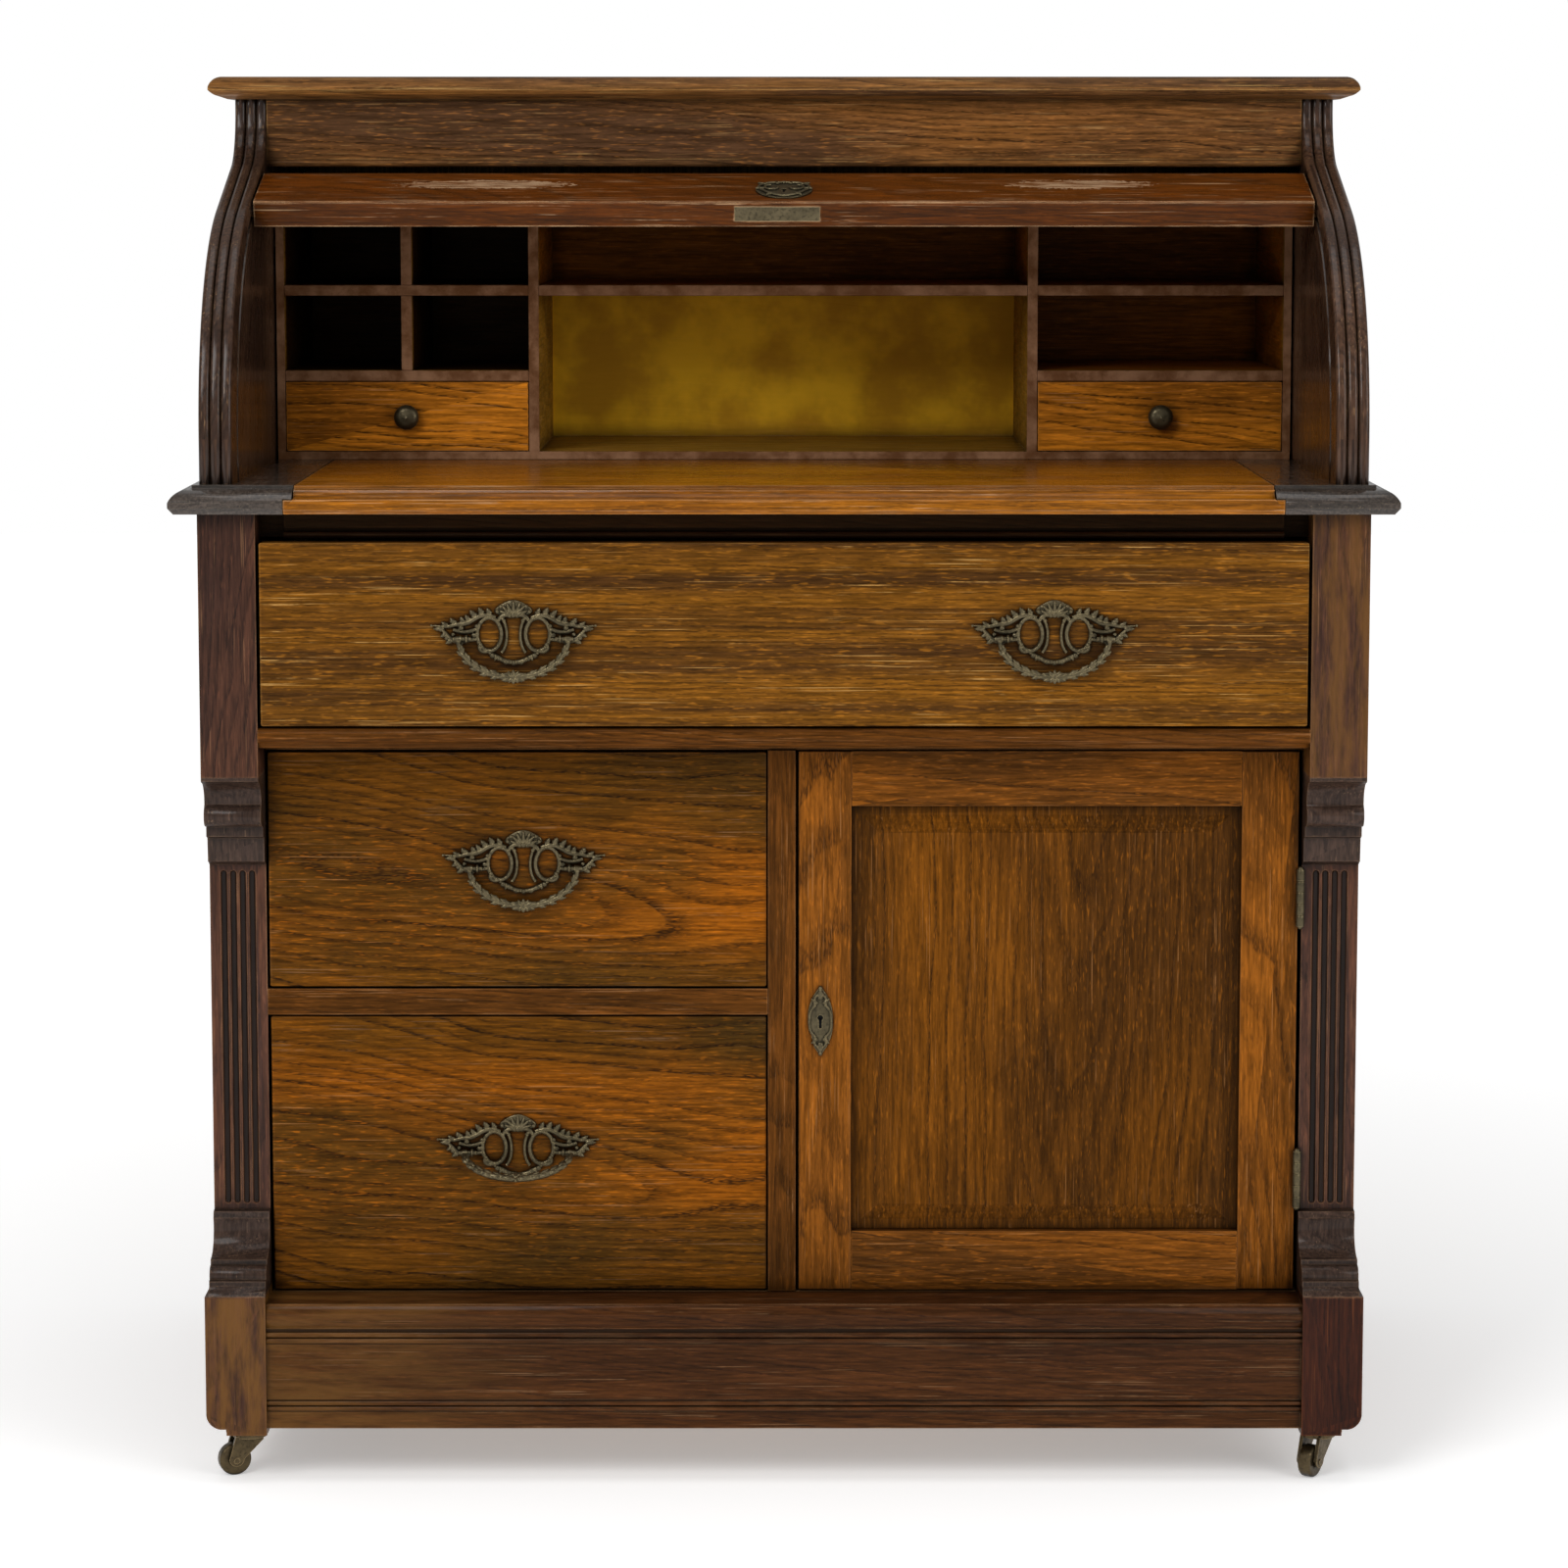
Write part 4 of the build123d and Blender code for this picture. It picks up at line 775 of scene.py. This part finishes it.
def make_keyhole_shade():
    """A dark sheet painted as the shade inside a keyhole: a round over a slot."""
    hole = bmesh.new()
    round_part = bmesh.ops.create_circle(hole, cap_ends=True, segments=20, radius=2.15 * MM)["verts"]
    bmesh.ops.rotate(hole, verts=round_part, matrix=Matrix.Rotation(math.pi / 2, 3, "X"))
    corners = [(-1.05, 0, 0), (1.05, 0, 0), (1.05, 0, -8), (-1.05, 0, -8)]
    hole.faces.new([hole.verts.new(Vector(corner) * MM) for corner in corners])
    mesh = bpy.data.meshes.new("keyhole")
    hole.to_mesh(mesh)
    hole.free()
    dark = make_metal("keyhole_dark", (0.01, 0.009, 0.008), (0.004,) * 3, (0.002,) * 3)
    mesh.materials.append(dark)
    return mesh


def joint(name):
    return next(found for found in frame["joints"] if found["name"] == name)


def add_handles():
    backplate, bail = make_backplate(), make_bail()
    pulls = (
        ("long_drawer", "_left"), ("long_drawer", "_right"), ("upper_drawer", ""), ("lower_drawer", ""),
    )
    for drawer, side in pulls:
        body = f"{drawer}_bail{side}"
        swing = joint(f"{body}_swing")
        pivot = Vector(swing["pos_m"])
        plate = place_piece(f"{drawer}_backplate{side}", backplate, drawer, pivot)
        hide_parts(f"{drawer}_plates")
        raised = Matrix.Rotation(math.radians(min(swing["range_deg"])), 4, "X")
        handle = place_piece(f"{body}_cast", bail, body, pivot, raised)
        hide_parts(body)


def add_escutcheons():
    keyhole = make_keyhole_shade()
    low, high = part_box("door_hardware")
    face_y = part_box("door_frame")[0].y
    middle = Vector((low.x + 0.0165, face_y, (joint("door_swing")["pos_m"][2] + 0.002)))
    place_piece("door_escutcheon", make_door_escutcheon(), "door", middle)
    place_piece("door_keyhole", keyhole, "door", middle + Vector((0, -0.0004, 0.0025)))
    turning = joint("roll_close")
    axis = Vector(turning["pos_m"])
    opened = Matrix.Rotation(-math.radians(max(turning["range_deg"])), 4, "X")
    closed_middle = Vector((0, FRONT_Y + 0.030, axis.z))
    centre = axis + opened.to_3x3() @ (closed_middle - axis)
    place_piece("rail_escutcheon", make_rail_escutcheon(), "lead_rail", centre, opened)
    deeper = centre + opened.to_3x3() @ Vector((0, -0.0004, 0.002))
    place_piece("rail_keyhole", keyhole, "lead_rail", deeper, opened)


# ---------------------------------------------------------------- finishing the CAD nodes
def boards_of(mesh):
    """The faces of each separate solid in a mesh, as lists of face numbers."""
    parent = list(range(len(mesh.vertices)))

    def root(item):
        while parent[item] != item:
            parent[item] = parent[parent[item]]
            item = parent[item]
        return item

    by_place = {}
    for vertex in mesh.vertices:
        key = tuple(round(value, 6) for value in vertex.co)
        twin = by_place.setdefault(key, vertex.index)
        parent[root(vertex.index)] = root(twin)
    for face in mesh.polygons:
        first = root(face.vertices[0])
        for other in face.vertices[1:]:
            parent[root(other)] = first
            first = root(first)
    boards = {}
    for face in mesh.polygons:
        boards.setdefault(root(face.vertices[0]), []).append(face.index)
    return list(boards.values())


def longest_axis(mesh, faces):
    """The direction that a board, or a single face, is longest in."""
    points = [mesh.vertices[v].co for f in faces for v in mesh.polygons[f].vertices]
    sizes = [max(p[n] for p in points) - min(p[n] for p in points) for n in range(3)]
    return AXES[sizes.index(max(sizes))]


def soften(piece, width):
    """Rounds a piece's sharp edges a little."""
    weld = piece.modifiers.new("weld", "WELD")
    weld.merge_threshold = 0.00001
    bevel = piece.modifiers.new("soft_edges", "BEVEL")
    bevel.width = width
    bevel.segments = 2
    bevel.limit_method = "ANGLE"
    bevel.angle_limit = math.radians(50)
    bevel.harden_normals = True
    bevel.miter_outer = "MITER_ARC"


def finish_wood(node, look_name, axis=None, bevel=0.0009, pith=None, marks=None):
    """Gives each board of a node the wood whose grain runs along it, or along one stated axis.

    Boards that touch can't be told apart, so there axis is "face": the grain follows each face.
    pith is where the heart of the log lies from the middle of the node's front, in metres.
    """
    piece = frame["nodes"][node]
    mesh = piece.data
    mesh.materials.clear()
    slots = {}
    if pith is not None:
        low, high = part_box(node)
        middle = ((low.x + high.x) / 2, low.y, (low.z + high.z) / 2)
        pith = tuple(a + b for a, b in zip(middle, pith))
    groups = [[face.index] for face in mesh.polygons] if axis == "face" else boards_of(mesh)
    for faces in groups:
        along = longest_axis(mesh, faces) if axis in (None, "face") else axis
        if along not in slots:
            slots[along] = len(slots)
            mesh.materials.append(wood(look_name, along, pith, marks))
        for face in faces:
            mesh.polygons[face].material_index = slots[along]
    soften(piece, bevel)


def finish_metal(node, material):
    piece = frame["nodes"][node]
    piece.data.materials.clear()
    piece.data.materials.append(material)
    soften(piece, 0.3 * MM)


def finish_nodes():
    finish_wood("front_posts", "post", "z", 0.0012, marks=post_marks)
    finish_wood("post_mouldings", "moulding", "z", 0.0007)
    finish_wood("side_frames", "case", "face")
    finish_wood("side_panels", "panel", "z")
    finish_wood("back_boards", "plain")
    finish_wood("plinth", "plinth", "x", marks=plinth_marks)
    finish_wood("bottom_board", "plain")
    finish_wood("front_rails", "case", "x", marks=rails_overhang_shadow)
    finish_wood("centre_partition", "case", "z")
    finish_wood("dust_boards", "plain")
    finish_wood("cupboard_shelf", "plain")
    finish_wood("writing_ends", "ends", "y")
    finish_wood("writing_slide", "slide", "x")
    finish_wood("writing_bed", "plain", "x")
    finish_wood("curved_side_left", "side", "z", 0.0005)
    finish_wood("curved_side_right", "side", "z", 0.0005)
    finish_wood("top_board", "top", "x")
    finish_wood("frieze", "frieze", "x", 0.0006, (0.09, 0.022, -0.012))
    finish_wood("gallery_case", "gallery", "face", marks=gallery_bay_light_and_shade)
    finish_wood("gallery_shelves", "gallery", "x", marks=gallery_bay_light_and_shade)
    finish_wood("roll_lead_rail", "rail", "x", 0.0012, marks=rail_marks)
    for name in frame["nodes"]:
        if name.startswith("roll_slat_"):
            finish_wood(name, "case", "x", 0.0005)
    finish_wood("long_drawer_front", "long_drawer", "x", 0.0015, (0.0, 0.030, 0.30))
    finish_wood("upper_drawer_front", "drawer", "x", 0.0015, (0.10, 0.045, -0.025), drawer_border_shade)
    finish_wood("lower_drawer_front", "drawer", "x", 0.0015, (0.10, 0.040, -0.015), drawer_border_shade)
    for name in ("long", "upper", "lower"):
        finish_wood(f"{name}_drawer_box", "plain", "face")
    for side in ("left", "right"):
        finish_wood(f"gallery_drawer_{side}", "small_drawer", "x", 0.0006)
    finish_wood("door_frame", "door", "face")
    finish_wood("door_panel", "panel", "z", 0.0006, (0.03, 0.050, 0.0))
    for name in frame["nodes"]:
        if name.startswith("caster_"):
            finish_metal(name, CASTER_BRASS)
        elif "_plates" in name or "_bail" in name or "knob" in name or name in (
                "hinge_leaves", "door_hardware", "roll_lock"):
            finish_metal(name, BRASS)


bpy.context.scene.view_settings.view_transform = "Standard"
make_camera()
make_stage()
finish_nodes()
add_handles()
add_escutcheons()
